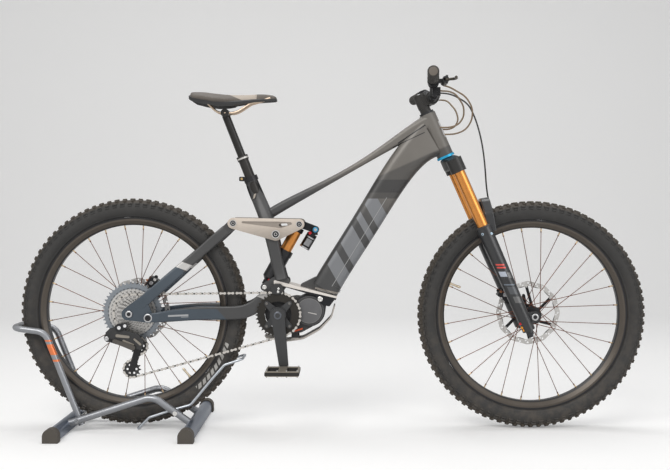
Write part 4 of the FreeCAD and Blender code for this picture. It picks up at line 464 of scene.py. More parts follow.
def metal_finish(name, colour, roughness, stretch=(900.0, 60.0, 900.0), spread=0.16, bump=0.08,
                 **constants):
    """Bare or coated metal with drawn lines."""
    constants.setdefault("Metallic", 1.0)
    return Finish(name, **constants).brushed(colour, stretch, roughness, spread, bump)


MATERIALS = {}


def finish_of(key, maker, *arguments, **settings):
    """A material by its key, made once."""
    if key not in MATERIALS:
        MATERIALS[key] = maker(*arguments, **settings)
    return MATERIALS[key]


def dress(node, material):
    """Gives a carried-over CAD node its finish."""
    put_on(frame["nodes"][node], material)


# ------------------------------------------------------------------ settings

class BICYCLE_PG_colours(bpy.types.PropertyGroup):
    """Colours of the painted and coated pieces."""

    frame_paint: FloatVectorProperty(
        name="Frame", description="Satin paint of the frame", subtype="COLOR", size=3,
        default=(0.060, 0.060, 0.061), min=0, max=1)
    panel_grey: FloatVectorProperty(
        name="Panels", description="Lighter bands on the down tube", subtype="COLOR", size=3,
        default=(0.205, 0.212, 0.225), min=0, max=1)
    stay_blue: FloatVectorProperty(
        name="Stay ends", description="Blue-grey paint at the rear axle", subtype="COLOR",
        size=3, default=(0.056, 0.074, 0.094), min=0, max=1)
    rocker: FloatVectorProperty(
        name="Rocker", description="Champagne metal of the rocker", subtype="COLOR", size=3,
        default=(0.72, 0.635, 0.555), min=0, max=1)
    gold: FloatVectorProperty(
        name="Stanchions", description="Slippery gold coating", subtype="COLOR", size=3,
        default=(0.70, 0.29, 0.075), min=0, max=1)
    stand: FloatVectorProperty(
        name="Stand", description="Lacquer of the display stand", subtype="COLOR", size=3,
        default=(0.30, 0.31, 0.33), min=0, max=1)


class BICYCLE_PG_sizes(bpy.types.PropertyGroup):
    """Sizes of the modelled pieces."""

    knob_height: FloatProperty(
        name="Knob height", description="Tread block above the casing", subtype="DISTANCE",
        unit="LENGTH", default=0.0052, min=0.001, max=0.01)
    knob_rows: IntProperty(
        name="Knob rows", description="Tread rows around a tyre", default=88, min=20, max=120)
    saddle_swell: FloatProperty(
        name="Saddle swell", description="Most that the saddle's padding may swell",
        subtype="DISTANCE", unit="LENGTH", default=0.0035, min=0.0, max=0.02)
    grip_rib: FloatProperty(
        name="Grip rib", description="Height of a rib on the grips", subtype="DISTANCE",
        unit="LENGTH", default=0.0011, min=0.0, max=0.003)


def colours():
    return bpy.context.scene.bicycle_colours


def sizes():
    return bpy.context.scene.bicycle_sizes


class BicycleOperator(bpy.types.Operator):
    """Common base of the operators that make one group of pieces."""

    bl_options = {"REGISTER", "UNDO"}


# ------------------------------------------------------------------ stage

FLOOR_HALF, FLOOR_FRONT, FLOOR_BACK = 9.0, -7.0, 4.5
FLOOR_BEND, FLOOR_STEPS, WALL_HEIGHT = 1.6, 16, 7.0
PAPER_GLOW = 0.22
ROOM_LIGHT, ROOM_SEEN = 0.27, 0.8
# name, place, target, size, power, colour
SOFTBOXES = (
    ("key_softbox", (-1.6, -3.2, 3.4), (0.0, 0.0, 0.5), (3.2, 2.2), 108.0, (1.0, 0.985, 0.96)),
    ("fill_softbox", (3.2, -2.6, 1.8), (0.1, 0.0, 0.5), (2.4, 2.4), 38.0),
    ("top_softbox", (0.2, 0.6, 3.6), (0.0, 0.0, 0.4), (3.6, 1.6), 56.0))
LENS, SENSOR = 52.2, 36.0
EYE = (0.042, -3.057, 0.712)
EYE_YAW, EYE_PITCH = -0.62, -1.97


class BICYCLE_OT_stage(BicycleOperator):
    """Make the floor, the backdrop, the lights and the camera"""

    bl_idname = "bicycle.stage"
    bl_label = "Stage"

    def execute(self, context):
        backdrop()
        lights()
        camera()
        return {"FINISHED"}


def backdrop():
    """One sheet: a level floor that turns up into a wall, clear from behind."""
    bm = bmesh.new()
    line = [(FLOOR_FRONT, 0.0), (FLOOR_BACK - FLOOR_BEND, 0.0)]
    for i in range(1, FLOOR_STEPS + 1):
        turn = math.pi / 2 * i / FLOOR_STEPS
        line.append((FLOOR_BACK - FLOOR_BEND + FLOOR_BEND * math.sin(turn),
                     FLOOR_BEND - FLOOR_BEND * math.cos(turn)))
    line.append((FLOOR_BACK, WALL_HEIGHT))
    rows = [[bm.verts.new((x, y, z)) for x in (-FLOOR_HALF, FLOOR_HALF)] for y, z in line]
    grid_faces(bm, rows, closed_rings=False, closed_sections=False)
    bm.normal_update()
    bm.faces.ensure_lookup_table()
    if bm.faces[0].normal.z < 0:
        bmesh.ops.reverse_faces(bm, faces=bm.faces[:])
    floor = add_object("studio_floor", mesh_from(bm, "studio_floor"))
    shade(floor, ALL_SMOOTH)
    floor.data.materials.append(paper_finish())


def paper_finish():
    """Pale paper that glows a little to the camera and is clear from behind."""
    paper = Finish("Studio paper", Roughness=0.9)
    paper.grained((0.80, 0.80, 0.80), 0.012, 0.9, 0.02, 300.0, 0.02)
    path = paper.node("ShaderNodeLightPath")
    seen = paper.times(path.outputs["Is Camera Ray"], PAPER_GLOW)
    paper.surface.inputs["Emission Color"].default_value = WHITE
    paper.feed(paper.surface, "Emission Strength", seen)
    side = paper.node("ShaderNodeNewGeometry")
    paper.feed(paper.surface, "Alpha", paper.inverse(side.outputs["Backfacing"]))
    return paper.material


def area_light(name, place, target, size, power, colour=(1.0, 1.0, 1.0)):
    """A rectangular lamp at a place, turned to a target."""
    lamp = bpy.data.lights.new(name, "AREA")
    lamp.shape = "RECTANGLE"
    lamp.size, lamp.size_y = size
    lamp.energy = power
    lamp.color = colour
    obj = add_object(name, lamp)
    obj.location = place
    look_along(obj, Vector(target) - Vector(place))


def look_along(obj, direction):
    """Turns a lamp or a camera so that it looks along a direction."""
    obj.rotation_euler = direction.to_track_quat("-Z", "Y").to_euler()


def lights():
    """Soft boxes above, before and beside the bicycle in an even pale room."""
    for box in SOFTBOXES:
        area_light(*box)
    world = bpy.data.worlds.new("Pale room")
    world.use_nodes = True
    bpy.context.scene.world = world
    tree = Tree(world.node_tree)
    back = world.node_tree.nodes["Background"]
    back.inputs["Color"].default_value = WHITE
    path = tree.node("ShaderNodeLightPath")
    seen = tree.most(path.outputs["Is Camera Ray"], path.outputs["Is Glossy Ray"])
    tree.feed(back, "Strength", tree.blend_value(seen, ROOM_LIGHT, ROOM_SEEN))


def camera():
    """A long lens, level with the tops of the tyres, that faces the right side."""
    lens = bpy.data.cameras.new("camera")
    lens.lens = LENS
    lens.sensor_width = SENSOR
    eye = add_object("camera", lens)
    eye.location = EYE
    yaw, pitch = math.radians(EYE_YAW), math.radians(EYE_PITCH)
    look_along(eye, Vector((math.sin(yaw) * math.cos(pitch), math.cos(yaw) * math.cos(pitch),
                            math.sin(pitch))))
    bpy.context.scene.camera = eye
    bpy.context.scene.view_settings.view_transform = "Standard"


# ------------------------------------------------------------------ small fittings

DIAL_TEETH, DIAL_GROOVE = 20, 0.93
THIN_EDGE = 0.0004


def black_finish():
    return finish_of("black", plain_finish, "Black anodised", (0.020, 0.020, 0.022), 0.36,
                     Metallic=0.35)


def black_plastic():
    return finish_of("plastic", plain_finish, "Black moulding", (0.028, 0.028, 0.029), 0.55,
                     grain=1800.0, bump=0.25)


def steel_finish():
    return finish_of("steel", metal_finish, "Bolt steel", (0.56, 0.56, 0.57), 0.3)


def bright_finish():
    return finish_of("bright", metal_finish, "Polished bolt", (0.78, 0.77, 0.75), 0.24)


def brass_finish():
    return finish_of("brass", metal_finish, "Brass bolt", (0.66, 0.48, 0.22), 0.3)


def nickel_finish():
    return finish_of("nickel", metal_finish, "Link nickel", (0.13, 0.12, 0.11), 0.34)


def bolt_head(name, start, axis, radius, height, body, material):
    """A round head with a broken edge and a socket sunk in its middle."""
    bm = bmesh.new()
    bore = radius * 0.46
    profile = [(0.0, radius * 0.96), (height * 0.25, radius), (height * 0.72, radius),
               (height, radius * 0.86), (height, bore * 1.12), (height * 0.9, bore),
               (height * 0.35, bore * 0.94)]
    lathe(bm, profile, start, axis, 28)
    return piece_from(bm, name, body, material)


def ring_band(name, start, axis, profile, body, material, segments=48):
    """Turns a closed (along, radius) outline about an axis, open in its middle."""
    bm = bmesh.new()
    grid_faces(bm, turned_rings(bm, profile, start, axis, segments))
    return piece_from(bm, name, body, material)


def dial(name, start, axis, radius, height, colour, body):
    """A knurled adjuster: each tooth takes two of its four steps round the rim."""
    bm = bmesh.new()
    axis, side, across = turning_axes(axis)
    steps = DIAL_TEETH * 4
    rings = []
    for along, scale in ((0.0, 0.92), (0.12, 1.0), (0.8, 1.0), (1.0, 0.86)):
        ring = []
        for i in range(steps):
            angle = 2 * math.pi * i / steps
            reach = radius * scale * (1.0 if i % 4 < 2 else DIAL_GROOVE)
            ring.append(bm.verts.new(Vector(start) + axis * (along * height)
                                     + (side * math.cos(angle) + across * math.sin(angle))
                                     * reach))
        rings.append(ring)
    grid_faces(bm, rings, closed_rings=False)
    cap_rings(bm, rings)
    return piece_from(bm, name, body, plain_finish(f"{name} colour", colour, 0.3,
                                                   Metallic=0.5))


def hull_outline(circles, steps=14):
    """Outline in (x, z) round two circles, each (x, z, radius)."""
    (ax, az, ar), (bx, bz, br) = circles
    heading = math.atan2(bz - az, bx - ax)
    gap = math.hypot(bx - ax, bz - az)
    tilt = math.acos(max(-1.0, min(1.0, (ar - br) / gap)))
    points = []
    for x, z, radius, start, end in ((ax, az, ar, heading + tilt, heading + 2 * math.pi - tilt),
                                     (bx, bz, br, heading - tilt, heading + tilt)):
        for i in range(steps + 1):
            angle = start + (end - start) * i / steps
            points.append((x + radius * math.cos(angle), z + radius * math.sin(angle)))
    return points


def flat_piece(name, outline, y_low, y_high, body, material, edge=0.0008):
    """A plate from an (x, z) outline between two faces, with broken edges."""
    bm = bmesh.new()
    middle = Vector((sum(x for x, _ in outline), sum(z for _, z in outline))) / len(outline)
    rings = []
    for y, inset in ((y_low, edge), (y_low + edge, 0.0), (y_high - edge, 0.0),
                     (y_high, edge)):
        ring = []
        for x, z in outline:
            spot = Vector((x, z))
            spot += (middle - spot).normalized() * inset
            ring.append(bm.verts.new((spot.x, y, spot.y)))
        rings.append(ring)
    grid_faces(bm, rings, closed_rings=False)
    cap_rings(bm, rings)
    return piece_from(bm, name, body, material)


# ------------------------------------------------------------------ frame and battery cover

DOWN_TUBE = Vector((math.cos(math.radians(58.3)), 0.0, math.sin(math.radians(58.3))))
DOWN_TUBE_FRONT = Vector((DOWN_TUBE.z, 0.0, -DOWN_TUBE.x))
DOWN_TUBE_FOOT = Vector((-0.022, 0.0, 0.438))
STEER_UP = Vector(JOINTS["steering"]["axis"]).normalized()
STEER_FRONT = Vector((STEER_UP.z, 0.0, -STEER_UP.x))
CROWN_RACE = pivot("steering")
BAND_LEAN = 0.55
# where the paler bands start and end along the down tube
BANDS = ((0.052, 0.104), (0.130, 0.196), (0.222, 0.246), (0.272, 0.322))
# the plane of the motor bracket's top
BRACKET_NORMAL = (0.229, 0.0, 1.0)
BRACKET_LEVEL = 0.4160
# along the seat stay from the axle, and square to it
SEAT_STAY = Vector((0.76, 0.0, 0.65))
SEAT_STAY_SIDE = Vector((-0.65, 0.0, 0.76))
CYAN = (0.03, 0.42, 0.72)


def slanted_panel(finish, place, low, high, lean, near, far):
    """A mask for a slanted block on the down tube's side."""
    run = finish.from_point(place, DOWN_TUBE, DOWN_TUBE_FOOT)
    depth = finish.from_point(place, DOWN_TUBE_FRONT, DOWN_TUBE_FOOT)
    skewed = finish.plus(run, finish.times(depth, lean))
    return finish.times(finish.between(skewed, low, high), finish.between(depth, near, far))


def stroke(finish, place, start, end, half, soft=0.0004):
    """A mask for a straight band between two points in the bicycle's plane."""
    start, end = Vector(start), Vector(end)
    line = (end - start).normalized()
    across = Vector((line.z, 0.0, -line.x))
    run = finish.from_point(place, line, start)
    off = finish.size(finish.from_point(place, across, start))
    return finish.times(finish.between(run, 0.0, (end - start).length, soft),
                        finish.below(off, half, soft))


def frame_paint():
    """Satin anthracite with lighter slanted bands and a parting line, painted light high on the down
    tube, a painted shadow across it, painted shade in two grooves and a dark throat of painted
    shade.
    """
    finish = Finish("Frame paint", Coat_Weight=0.2, Coat_Roughness=0.32, Metallic=0.2)
    place = finish.place()
    colour = tuple(colours().frame_paint)
    # Painted light: the down tube's upper part, towards the head tube, is paler where the light
    # falls on it.
    painted_light_upper = finish.above(finish.from_point(place, DOWN_TUBE, DOWN_TUBE_FOOT), 0.31, 0.10)
    colour = finish.mix(painted_light_upper, colour, (0.165, 0.153, 0.138))
    for low, high in BANDS:
        colour = finish.mix(slanted_panel(finish, place, low, high, BAND_LEAN, -0.0345, 0.0425),
                            colour, tuple(colours().panel_grey))
    shadow = slanted_panel(finish, place, 0.333, 0.402, -0.62, -0.06, 0.08)
    colour = finish.mix(shadow, colour, (0.072, 0.069, 0.066))
    level = finish.along(place, BRACKET_NORMAL, BRACKET_LEVEL)
    foot = finish.times(finish.between(level, 0.0105, 0.0170),
                        finish.above(finish.along(place, AHEAD), -0.053))
    colour = finish.mix(foot, colour, (0.26, 0.235, 0.21))
    seam = slanted_panel(finish, place, 0.02, 0.345, 0.0, 0.0122, 0.0140)
    colour = finish.mix(seam, colour, (0.36, 0.36, 0.36))
    # Painted shade: two near-black strokes stand for the shade in the deep grooves between the top
    # tube and the gusset.
    for start, end, half in (((0.190, 0, 0.881), (0.288, 0, 0.927), 0.0013),
                             ((0.205, 0, 0.893), (0.290, 0, 0.950), 0.0019)):
        colour = finish.mix(stroke(finish, place, start, end, half), colour,
                            (0.012, 0.012, 0.013))
    ahead = finish.from_point(place, STEER_FRONT, CROWN_RACE)
    height = finish.from_point(place, STEER_UP, CROWN_RACE)
    entry = finish.times(finish.above(ahead, 0.0205), finish.between(height, 0.058, 0.112))
    colour = finish.mix(entry, colour, (0.62, 0.62, 0.62))
    # Painted shade: the lowest part of the head tube, just above the lower headset ring, is darkened
    # where shade falls.
    painted_throat_shade = finish.times(finish.below(height, 0.030, 0.004),
                          finish.above(finish.along(place, UP), 0.74))
    colour = finish.mix(finish.times(painted_throat_shade, 0.6), colour, (0.03, 0.03, 0.032))
    return finish.grained(colour, 0.10, 0.45, 0.10, 1500.0, 0.05)


def stay_paint():
    """Anthracite that turns blue-grey at the axle, with a pale slanted band between."""
    finish = Finish("Stay paint", Coat_Weight=0.2, Coat_Roughness=0.3, Metallic=0.2)
    place = finish.place()
    run = finish.from_point(place, SEAT_STAY, REAR_AXLE)
    back = finish.along(place, AHEAD)
    height = finish.along(place, UP)
    seat_stay = finish.above(height, REAR_AXLE.z + 0.020, 0.001)
    low = finish.below(run, 0.212)
    slanted = finish.plus(back, finish.times(height, 0.9))
    panel = finish.times(finish.below(slanted, -0.016), finish.below(height, 0.379, 0.0008))
    dropout = finish.below(back, -0.518, 0.002)
    chain_stay = finish.most(panel, dropout)
    blue = finish.blend_value(seat_stay, chain_stay, low)
    colour = finish.mix(blue, tuple(colours().frame_paint), tuple(colours().stay_blue))
    beside = finish.from_point(place, SEAT_STAY_SIDE, REAR_AXLE)
    skew = finish.plus(run, finish.times(beside, 0.55))
    band = finish.times(finish.between(skew, 0.212, 0.236), seat_stay)
    colour = finish.mix(band, colour, (0.56, 0.55, 0.54))
    for start, end, half in (((-0.5040, 0, 0.3600), (-0.4440, 0, 0.3608), 0.0026),
                             ((-0.4660, 0, 0.3553), (-0.4440, 0, 0.3556), 0.0009)):
        bar = finish.times(stroke(finish, place, start, end, half), finish.inverse(seat_stay))
        colour = finish.mix(bar, colour, (0.40, 0.41, 0.42))
    return finish.grained(colour, 0.10, 0.42, 0.10, 1500.0, 0.05)


class BICYCLE_OT_frame(BicycleOperator):
    """Paint the frame, the stays and the battery cover, and finish the motor"""

    bl_idname = "bicycle.frame"
    bl_label = "Frame"

    def execute(self, context):
        paint = finish_of("frame_paint", frame_paint)
        for node in ("main_frame", "battery_pack"):
            dress(node, paint)
        stays = stay_paint()
        for node in ("chain_stays", "seat_stays"):
            dress(node, stays)
        dress("motor_bracket", bracket_finish())
        dress("bash_guard", guard_finish())
        dress("drive_unit", motor_finish())
        dress("seat_clamp", black_finish())
        dress("headset", headset_finish())
        frame_fittings()
        return {"FINISHED"}


def frame_fittings():
    """Bolts, the cyan ring, the charging plug and the strip on the skid plate."""
    for index, spot in enumerate(((-0.0365, -0.0460, 0.409), (-0.0365, 0.0460, 0.409))):
        bolt_head(f"bracket_bolt_{index}", spot, (0, spot[1], 0), 0.0078, 0.0022, "frame",
                  bright_finish())
    front = DOWN_TUBE_FOOT + DOWN_TUBE * 0.017 + DOWN_TUBE_FRONT * 0.0415
    bolt_head("cover_bolt", front, DOWN_TUBE_FRONT, 0.0042, 0.0050, "frame", steel_finish())
    plug = DOWN_TUBE_FOOT + DOWN_TUBE * 0.452 + DOWN_TUBE_FRONT * 0.038
    ring_band("cable_plug", plug, DOWN_TUBE_FRONT,
              [(-0.004, 0.0095), (0.007, 0.0095), (0.010, 0.0075), (0.010, 0.0035),
               (0.004, 0.0030), (-0.004, 0.0030)], "frame", black_plastic())
    bolt_head("plug_bolt", plug + DOWN_TUBE_FRONT * 0.003, DOWN_TUBE_FRONT, 0.0044, 0.0085,
              "frame", brass_finish())
    ring_band("lower_head_ring", CROWN_RACE, STEER_UP,
              [(-0.0022, 0.0268), (-0.0022, 0.0284), (0.0044, 0.0284), (0.0050, 0.0276),
               (0.0050, 0.0262)], "frame",
              plain_finish("Cyan ring", CYAN, 0.34, Metallic=0.4), 64)
    skirt = [(-0.1330, 0.2990), (-0.0949, 0.3034), (-0.0666, 0.3188), (-0.0407, 0.3351),
             (-0.0250, 0.3564), (-0.0383, 0.3588), (-0.0596, 0.3345), (-0.0949, 0.3254),
             (-0.1180, 0.3230)]
    for name, side in SIDES:
        low, high = sorted((side * 0.0300, side * 0.0345))
        flat_piece(f"{name}_motor_skirt", skirt, low, high, "frame", black_plastic(),
                   THIN_EDGE)
    flat_piece("guard_strip", [(-0.1205, 0.3042), (-0.0925, 0.3128), (-0.0915, 0.3180),
                               (-0.1195, 0.3094)], -0.0354, -0.0344, "frame",
               plain_finish("Orange strip", (0.80, 0.11, 0.03), 0.5), THIN_EDGE)
    flat_piece("down_tube_foot", [(-0.0530, 0.4580), (-0.0060, 0.4350), (-0.0060, 0.4285),
                                  (-0.0530, 0.4395)], -0.0300, 0.0300, "frame",
               MATERIALS["frame_paint"], THIN_EDGE)
    flat_piece("frame_gusset_plate", [(-0.2475, 0.7205), (-0.2415, 0.7225), (-0.2370, 0.7375),
                                      (-0.2440, 0.7360)], -0.0212, -0.0196, "frame",
               metal_finish("Tan plate", (0.42, 0.38, 0.33), 0.4), THIN_EDGE)
    bolt_head("seat_clamp_bolt", (-0.2835, -0.0070, 0.7832), NEAR, 0.0038, 0.0026, "frame",
              brass_finish())


def bracket_finish():
    """Bright brushed strip on top; the ears below it are black."""
    finish = Finish("Bracket metal", Metallic=0.75)
    level = finish.along(finish.place(), BRACKET_NORMAL, BRACKET_LEVEL)
    strip = finish.above(level, -0.0016, 0.0004)
    colour = finish.mix(strip, (0.024, 0.025, 0.028), (0.84, 0.79, 0.74))
    return finish.brushed(colour, (60.0, 900.0, 900.0), 0.36, 0.14, 0.06)


def guard_finish():
    """Light grey outer sheet; the tabs and the inside are black."""
    finish = Finish("Skid plate")
    place = finish.place()
    shell = finish.above(finish.radius(place, (-0.110, 0.0, 0.400)), 0.099, 0.0005)
    across = finish.size(finish.along(place, ACROSS))
    tab = finish.times(finish.between(across, 0.0292, 0.0336, 0.0002),
                       finish.times(finish.above(finish.along(place, UP), 0.2862),
                                    finish.between(finish.along(place, AHEAD), -0.1290,
                                                   -0.1030)))
    shell = finish.times(shell, finish.inverse(tab))
    colour = finish.mix(shell, (0.022, 0.022, 0.023), (0.43, 0.40, 0.37))
    return finish.grained(colour, 0.18, 0.6, 0.12, 700.0, 0.4)


def motor_finish():
    """Black castings with a dark, finely pebbled round cover inside a lighter rim."""
    finish = Finish("Motor housing", Metallic=0.1)
    place = finish.place()
    away = finish.radius(place, (-0.071, 0.0, 0.372))
    outside = finish.above(finish.size(finish.along(place, ACROSS)), 0.0372)
    cover = finish.times(finish.below(away, 0.0388), outside)
    rim = finish.times(finish.between(away, 0.0412, 0.0462), outside)
    colour = finish.mix(cover, (0.026, 0.026, 0.028), (0.125, 0.125, 0.130))
    colour = finish.mix(rim, colour, (0.075, 0.075, 0.077))
    edge = finish.times(finish.between(away, 0.0380, 0.0392, 0.0003), outside)
    colour = finish.mix(edge, colour, (0.24, 0.235, 0.23))
    bar = stroke(finish, place, (-0.0745, 0.0, 0.3672), (-0.0478, 0.0, 0.3615), 0.0011)
    colour = finish.mix(finish.times(outside, bar), colour, (0.62, 0.60, 0.58))
    return finish.grained(colour, 0.35, 0.5, 0.12, 1300.0, 0.6)


def headset_finish():
    """Black bearing covers; the lower ring is bright blue."""
    finish = Finish("Headset rings", Metallic=0.6)
    lower = finish.below(finish.along(finish.place(), UP), box_centre("headset").z)
    colour = finish.mix(lower, (0.04, 0.04, 0.042), CYAN)
    return finish.grained(colour, 0.06, 0.34, 0.08, 1500.0, 0.04)


# ------------------------------------------------------------------ wheels

CASING_STEPS = 30
# share of the casing's slope that a block leans by, and how deep it stands in the casing
BLOCK_LEAN, BLOCK_ROOT = 0.62, 0.0014
# turn and reach of the rotor's rivets
RIVET_TURN, RIVET_REACH = 34.0, 0.0840


def casing_middle():
    return RIM_EDGE + 0.46 * (WHEEL_RADIUS - sizes().knob_height - RIM_EDGE)


def casing_half_width():
    return box_size("front_tyre").y / 2 - 0.0016


def casing_profile(inset, bead):
    """A tyre's section: outline points (radius, y) from one bead to the other."""
    bead_radius, bead_y = bead
    middle = casing_middle()
    wide = casing_half_width() - inset
    crown = WHEEL_RADIUS - sizes().knob_height - inset - middle
    end = math.pi - math.asin(bead_y / wide)
    drop = (middle - bead_radius) / -math.cos(end)
    points = []
    for i in range(CASING_STEPS + 1):
        angle = end * (2 * i / CASING_STEPS - 1)
        reach = crown if math.cos(angle) > 0 else drop
        points.append((middle + reach * math.cos(angle), wide * math.sin(angle)))
    return points


def tyre_material(name, centre, marked):
    """Matt rubber: dark smooth walls, and a dry tan bloom on the blocks."""
    finish = Finish(name, Specular_IOR_Level=0.35)
    place = finish.place()
    away = finish.radius(place, centre)
    tread = finish.above(away, WHEEL_RADIUS - 0.0145, 0.0035)
    tips = finish.above(away, WHEEL_RADIUS - 0.0022, 0.0014)
    colour = finish.mix(tread, (0.044, 0.043, 0.042), (0.064, 0.055, 0.046))
    if marked:
        angle = finish.angle(place, centre)
        span = finish.between(angle, math.radians(-50.0), math.radians(-18.0), 0.002)
        bar = finish.math("FRACT", finish.plus(finish.times(angle, 16.0),
                                               finish.times(away, 34.0)))
        band = finish.between(away, RIM_EDGE + 0.0075, RIM_EDGE + 0.0205, 0.0006)
        bars = finish.times(finish.times(span, band), finish.below(bar, 0.66, 0.03))
        colour = finish.mix(finish.times(bars, 0.85), colour, (0.52, 0.51, 0.49))
    colour = finish.mix(finish.times(tips, 0.55), colour, (0.150, 0.125, 0.098))
    bead = finish.between(away, RIM_EDGE + 0.0035, RIM_EDGE + 0.0062, 0.0006)
    colour = finish.mix(finish.times(bead, 0.7), colour, (0.060, 0.060, 0.061))
    dusted = finish.group("dust", Colour=colour, Dust=(0.17, 0.14, 0.11), Amount=0.30, Top=0.55)
    return finish.grained(dusted.outputs["Colour"], 0.30, 0.70, 0.12, 700.0, 0.45)


def tread_block(bm, centre, angle, y, size, twist, lift=0.0):
    """One block of the tread, standing on the casing and leaning with it."""
    middle = casing_middle()
    top = WHEEL_RADIUS - sizes().knob_height - middle
    slope = math.asin(max(-1.0, min(1.0, y / casing_half_width())))
    radius = middle + top * math.cos(slope)
    outward = Vector((math.cos(angle), 0.0, math.sin(angle)))
    around = Vector((-math.sin(angle), 0.0, math.cos(angle)))
    lean = slope * BLOCK_LEAN
    normal = (outward * math.cos(lean) + AXIS_Y * math.sin(lean)).normalized()
    across = around.cross(normal).normalized()
    turn = Matrix.Rotation(twist, 3, normal)
    height = sizes().knob_height + 0.0012 + lift
    spot = centre + outward * radius + AXIS_Y * y + normal * (height / 2 - BLOCK_ROOT)
    block(bm, spot, (turn @ around, turn @ across, normal), (size[0], size[1], height))


def knobbly_tyre(end, centre, body):
    """A casing with centre, shoulder and side blocks."""
    bm = bmesh.new()
    outer = casing_profile(0.0, (RIM_EDGE + 0.0006, 0.0198))
    inner = casing_profile(0.0035, (RIM_EDGE + 0.0004, 0.0167))[::-1]
    wheel_ring(bm, outer + inner, centre, 240)
    rows = sizes().knob_rows
    step = 2 * math.pi / rows
    for row in range(rows):
        angle = step * row
        even = row % 2 == 0
        for _, side in SIDES:
            shift = step * 0.5 if side > 0 else 0.0
            tread_block(bm, centre, angle + shift * 0.5, side * 0.0062,
                        (0.0125 if even else 0.0100, 0.0090), side * 0.10)
            tread_block(bm, centre, angle + shift, side * 0.0186,
                        (0.0100, 0.0072 if even else 0.0090), -side * 0.22)
            tread_block(bm, centre, angle + step * 0.25, side * 0.0276,
                        (0.0148 if even else 0.0128, 0.0078), 0.0, -0.0004)
            tread_block(bm, centre, angle + step * 0.25, side * 0.0316,
                        (0.0120 if even else 0.0140, 0.0062), 0.0, -0.0026)
    rubber = tyre_material(f"{end}_knobbly_tyre rubber", centre, marked=end == "rear")
    return piece_from(bm, f"{end}_knobbly_tyre", body, rubber,
                      replaces=(f"{end}_tyre",), angle=40.0)


def rim_material(name, centre):
    """Satin black rim with a warmer, paler face between the spoke bed and the bead."""
    finish = Finish(name, Metallic=0.4)
    away = finish.radius(finish.place(), centre)
    face = finish.between(away, RIM_EDGE - 0.0215, RIM_EDGE - 0.0055, 0.0020)
    colour = finish.mix(face, (0.022, 0.022, 0.024), (0.095, 0.080, 0.066))
    return finish.grained(colour, 0.15, 0.34, 0.1, 900.0, 0.1)


def spoke_material(name, centre):
    """Dark copper wire that ends in brass nipples at the rim."""
    finish = Finish(name, Metallic=0.9)
    tip = finish.above(finish.radius(finish.place(), centre), RIM_EDGE - 0.0345, 0.0002)
    colour = finish.mix(tip, (0.150, 0.058, 0.036), (0.62, 0.47, 0.30))
    return finish.brushed(colour, (400.0, 400.0, 400.0), 0.34, 0.1, 0.03)


def rotor_material(name, centre):
    """Steel band with round wear lines, carried by black arms."""
    finish = Finish(name, Metallic=1.0)
    radius = finish.radius(finish.place(), centre)
    rings = finish.noise(finish.node("ShaderNodeCombineXYZ", X=radius).outputs[0], 2600.0, 2.0)
    colour = finish.mix(rings, (0.50, 0.49, 0.475), (0.70, 0.685, 0.665))
    arms = finish.below(radius, 0.0850, 0.0004)
    colour = finish.mix(arms, colour, (0.035, 0.035, 0.037))
    finish.feed(finish.surface, "Base Color", colour)
    finish.feed(finish.surface, "Roughness", finish.plus(0.26, finish.times(rings, 0.16)))
    bump = finish.node("ShaderNodeBump", Strength=0.1, Distance=0.0002, Height=rings)
    finish.feed(finish.surface, "Normal", bump.outputs[0])
    return finish.material


def valve(name, centre, angle, body):
    """A stem with its nut and cap, pointing from the rim to the hub."""
    bm = bmesh.new()
    outward = Vector((math.cos(angle), 0.0, math.sin(angle)))
    start = centre + outward * (RIM_EDGE - 0.0245)
    profile = [(0.0, 0.0056), (0.003, 0.0060), (0.0040, 0.0040), (0.006, 0.0038)]
    profile += [(0.006 + i * 0.0016, 0.0034 + 0.0004 * (i % 2)) for i in range(12)]
    profile += [(0.0255, 0.0028), (0.0258, 0.0042), (0.0345, 0.0040), (0.0375, 0.0022)]
    lathe(bm, profile, start, -outward, 18)
    return piece_from(bm, name, body, finish_of("valve", metal_finish, "Valve brass",
                                                (0.70, 0.60, 0.46), 0.35))


def caliper_fittings(end, body):
    """Bolts, a banjo and a pad pin on a caliper's near face."""
    low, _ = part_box(f"{end}_caliper")
    middle = box_centre(f"{end}_caliper")
    copper = finish_of("copper", metal_finish, "Copper bolt", (0.62, 0.30, 0.16), 0.32)
    spots = ((0.012, 0.012, 0.0050, bright_finish()), (-0.012, -0.010, 0.0046, bright_finish()),
             (0.013, -0.012, 0.0036, copper), (-0.013, 0.011, 0.0036, copper),
             (0.0, 0.001, 0.0062, steel_finish()))
    for index, (x, z, radius, material) in enumerate(spots):
        bolt_head(f"{end}_caliper_bolt_{index}", (middle.x + x, low[1] + 0.0003, middle.z + z),
                  NEAR, radius, 0.0026, body, material)


def rotor_rivets(end, centre, body):
    """Silver rivets where the rotor's arms carry its band."""
    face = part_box(f"{end}_rotor")[0][1]
    for index in range(6):
        angle = math.radians(RIVET_TURN + 60.0 * index)
        spot = centre + Vector((RIVET_REACH * math.cos(angle), 0.0,
                                RIVET_REACH * math.sin(angle)))
        bolt_head(f"{end}_rotor_rivet_{index}", (spot.x, face + 0.0002, spot.z), NEAR,
                  0.0030, 0.00045, body, bright_finish())


def axle_ring(end, centre, body):
    """A steel collar round the near end of an axle."""
    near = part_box(f"{end}_axle")[0][1]
    ring_band(f"{end}_axle_ring", (centre.x, near, centre.z), NEAR,
              [(-0.0010, 0.0104), (0.0004, 0.0104), (0.0008, 0.0098), (0.0008, 0.0062),
               (-0.0010, 0.0062)], body, steel_finish(), 36)


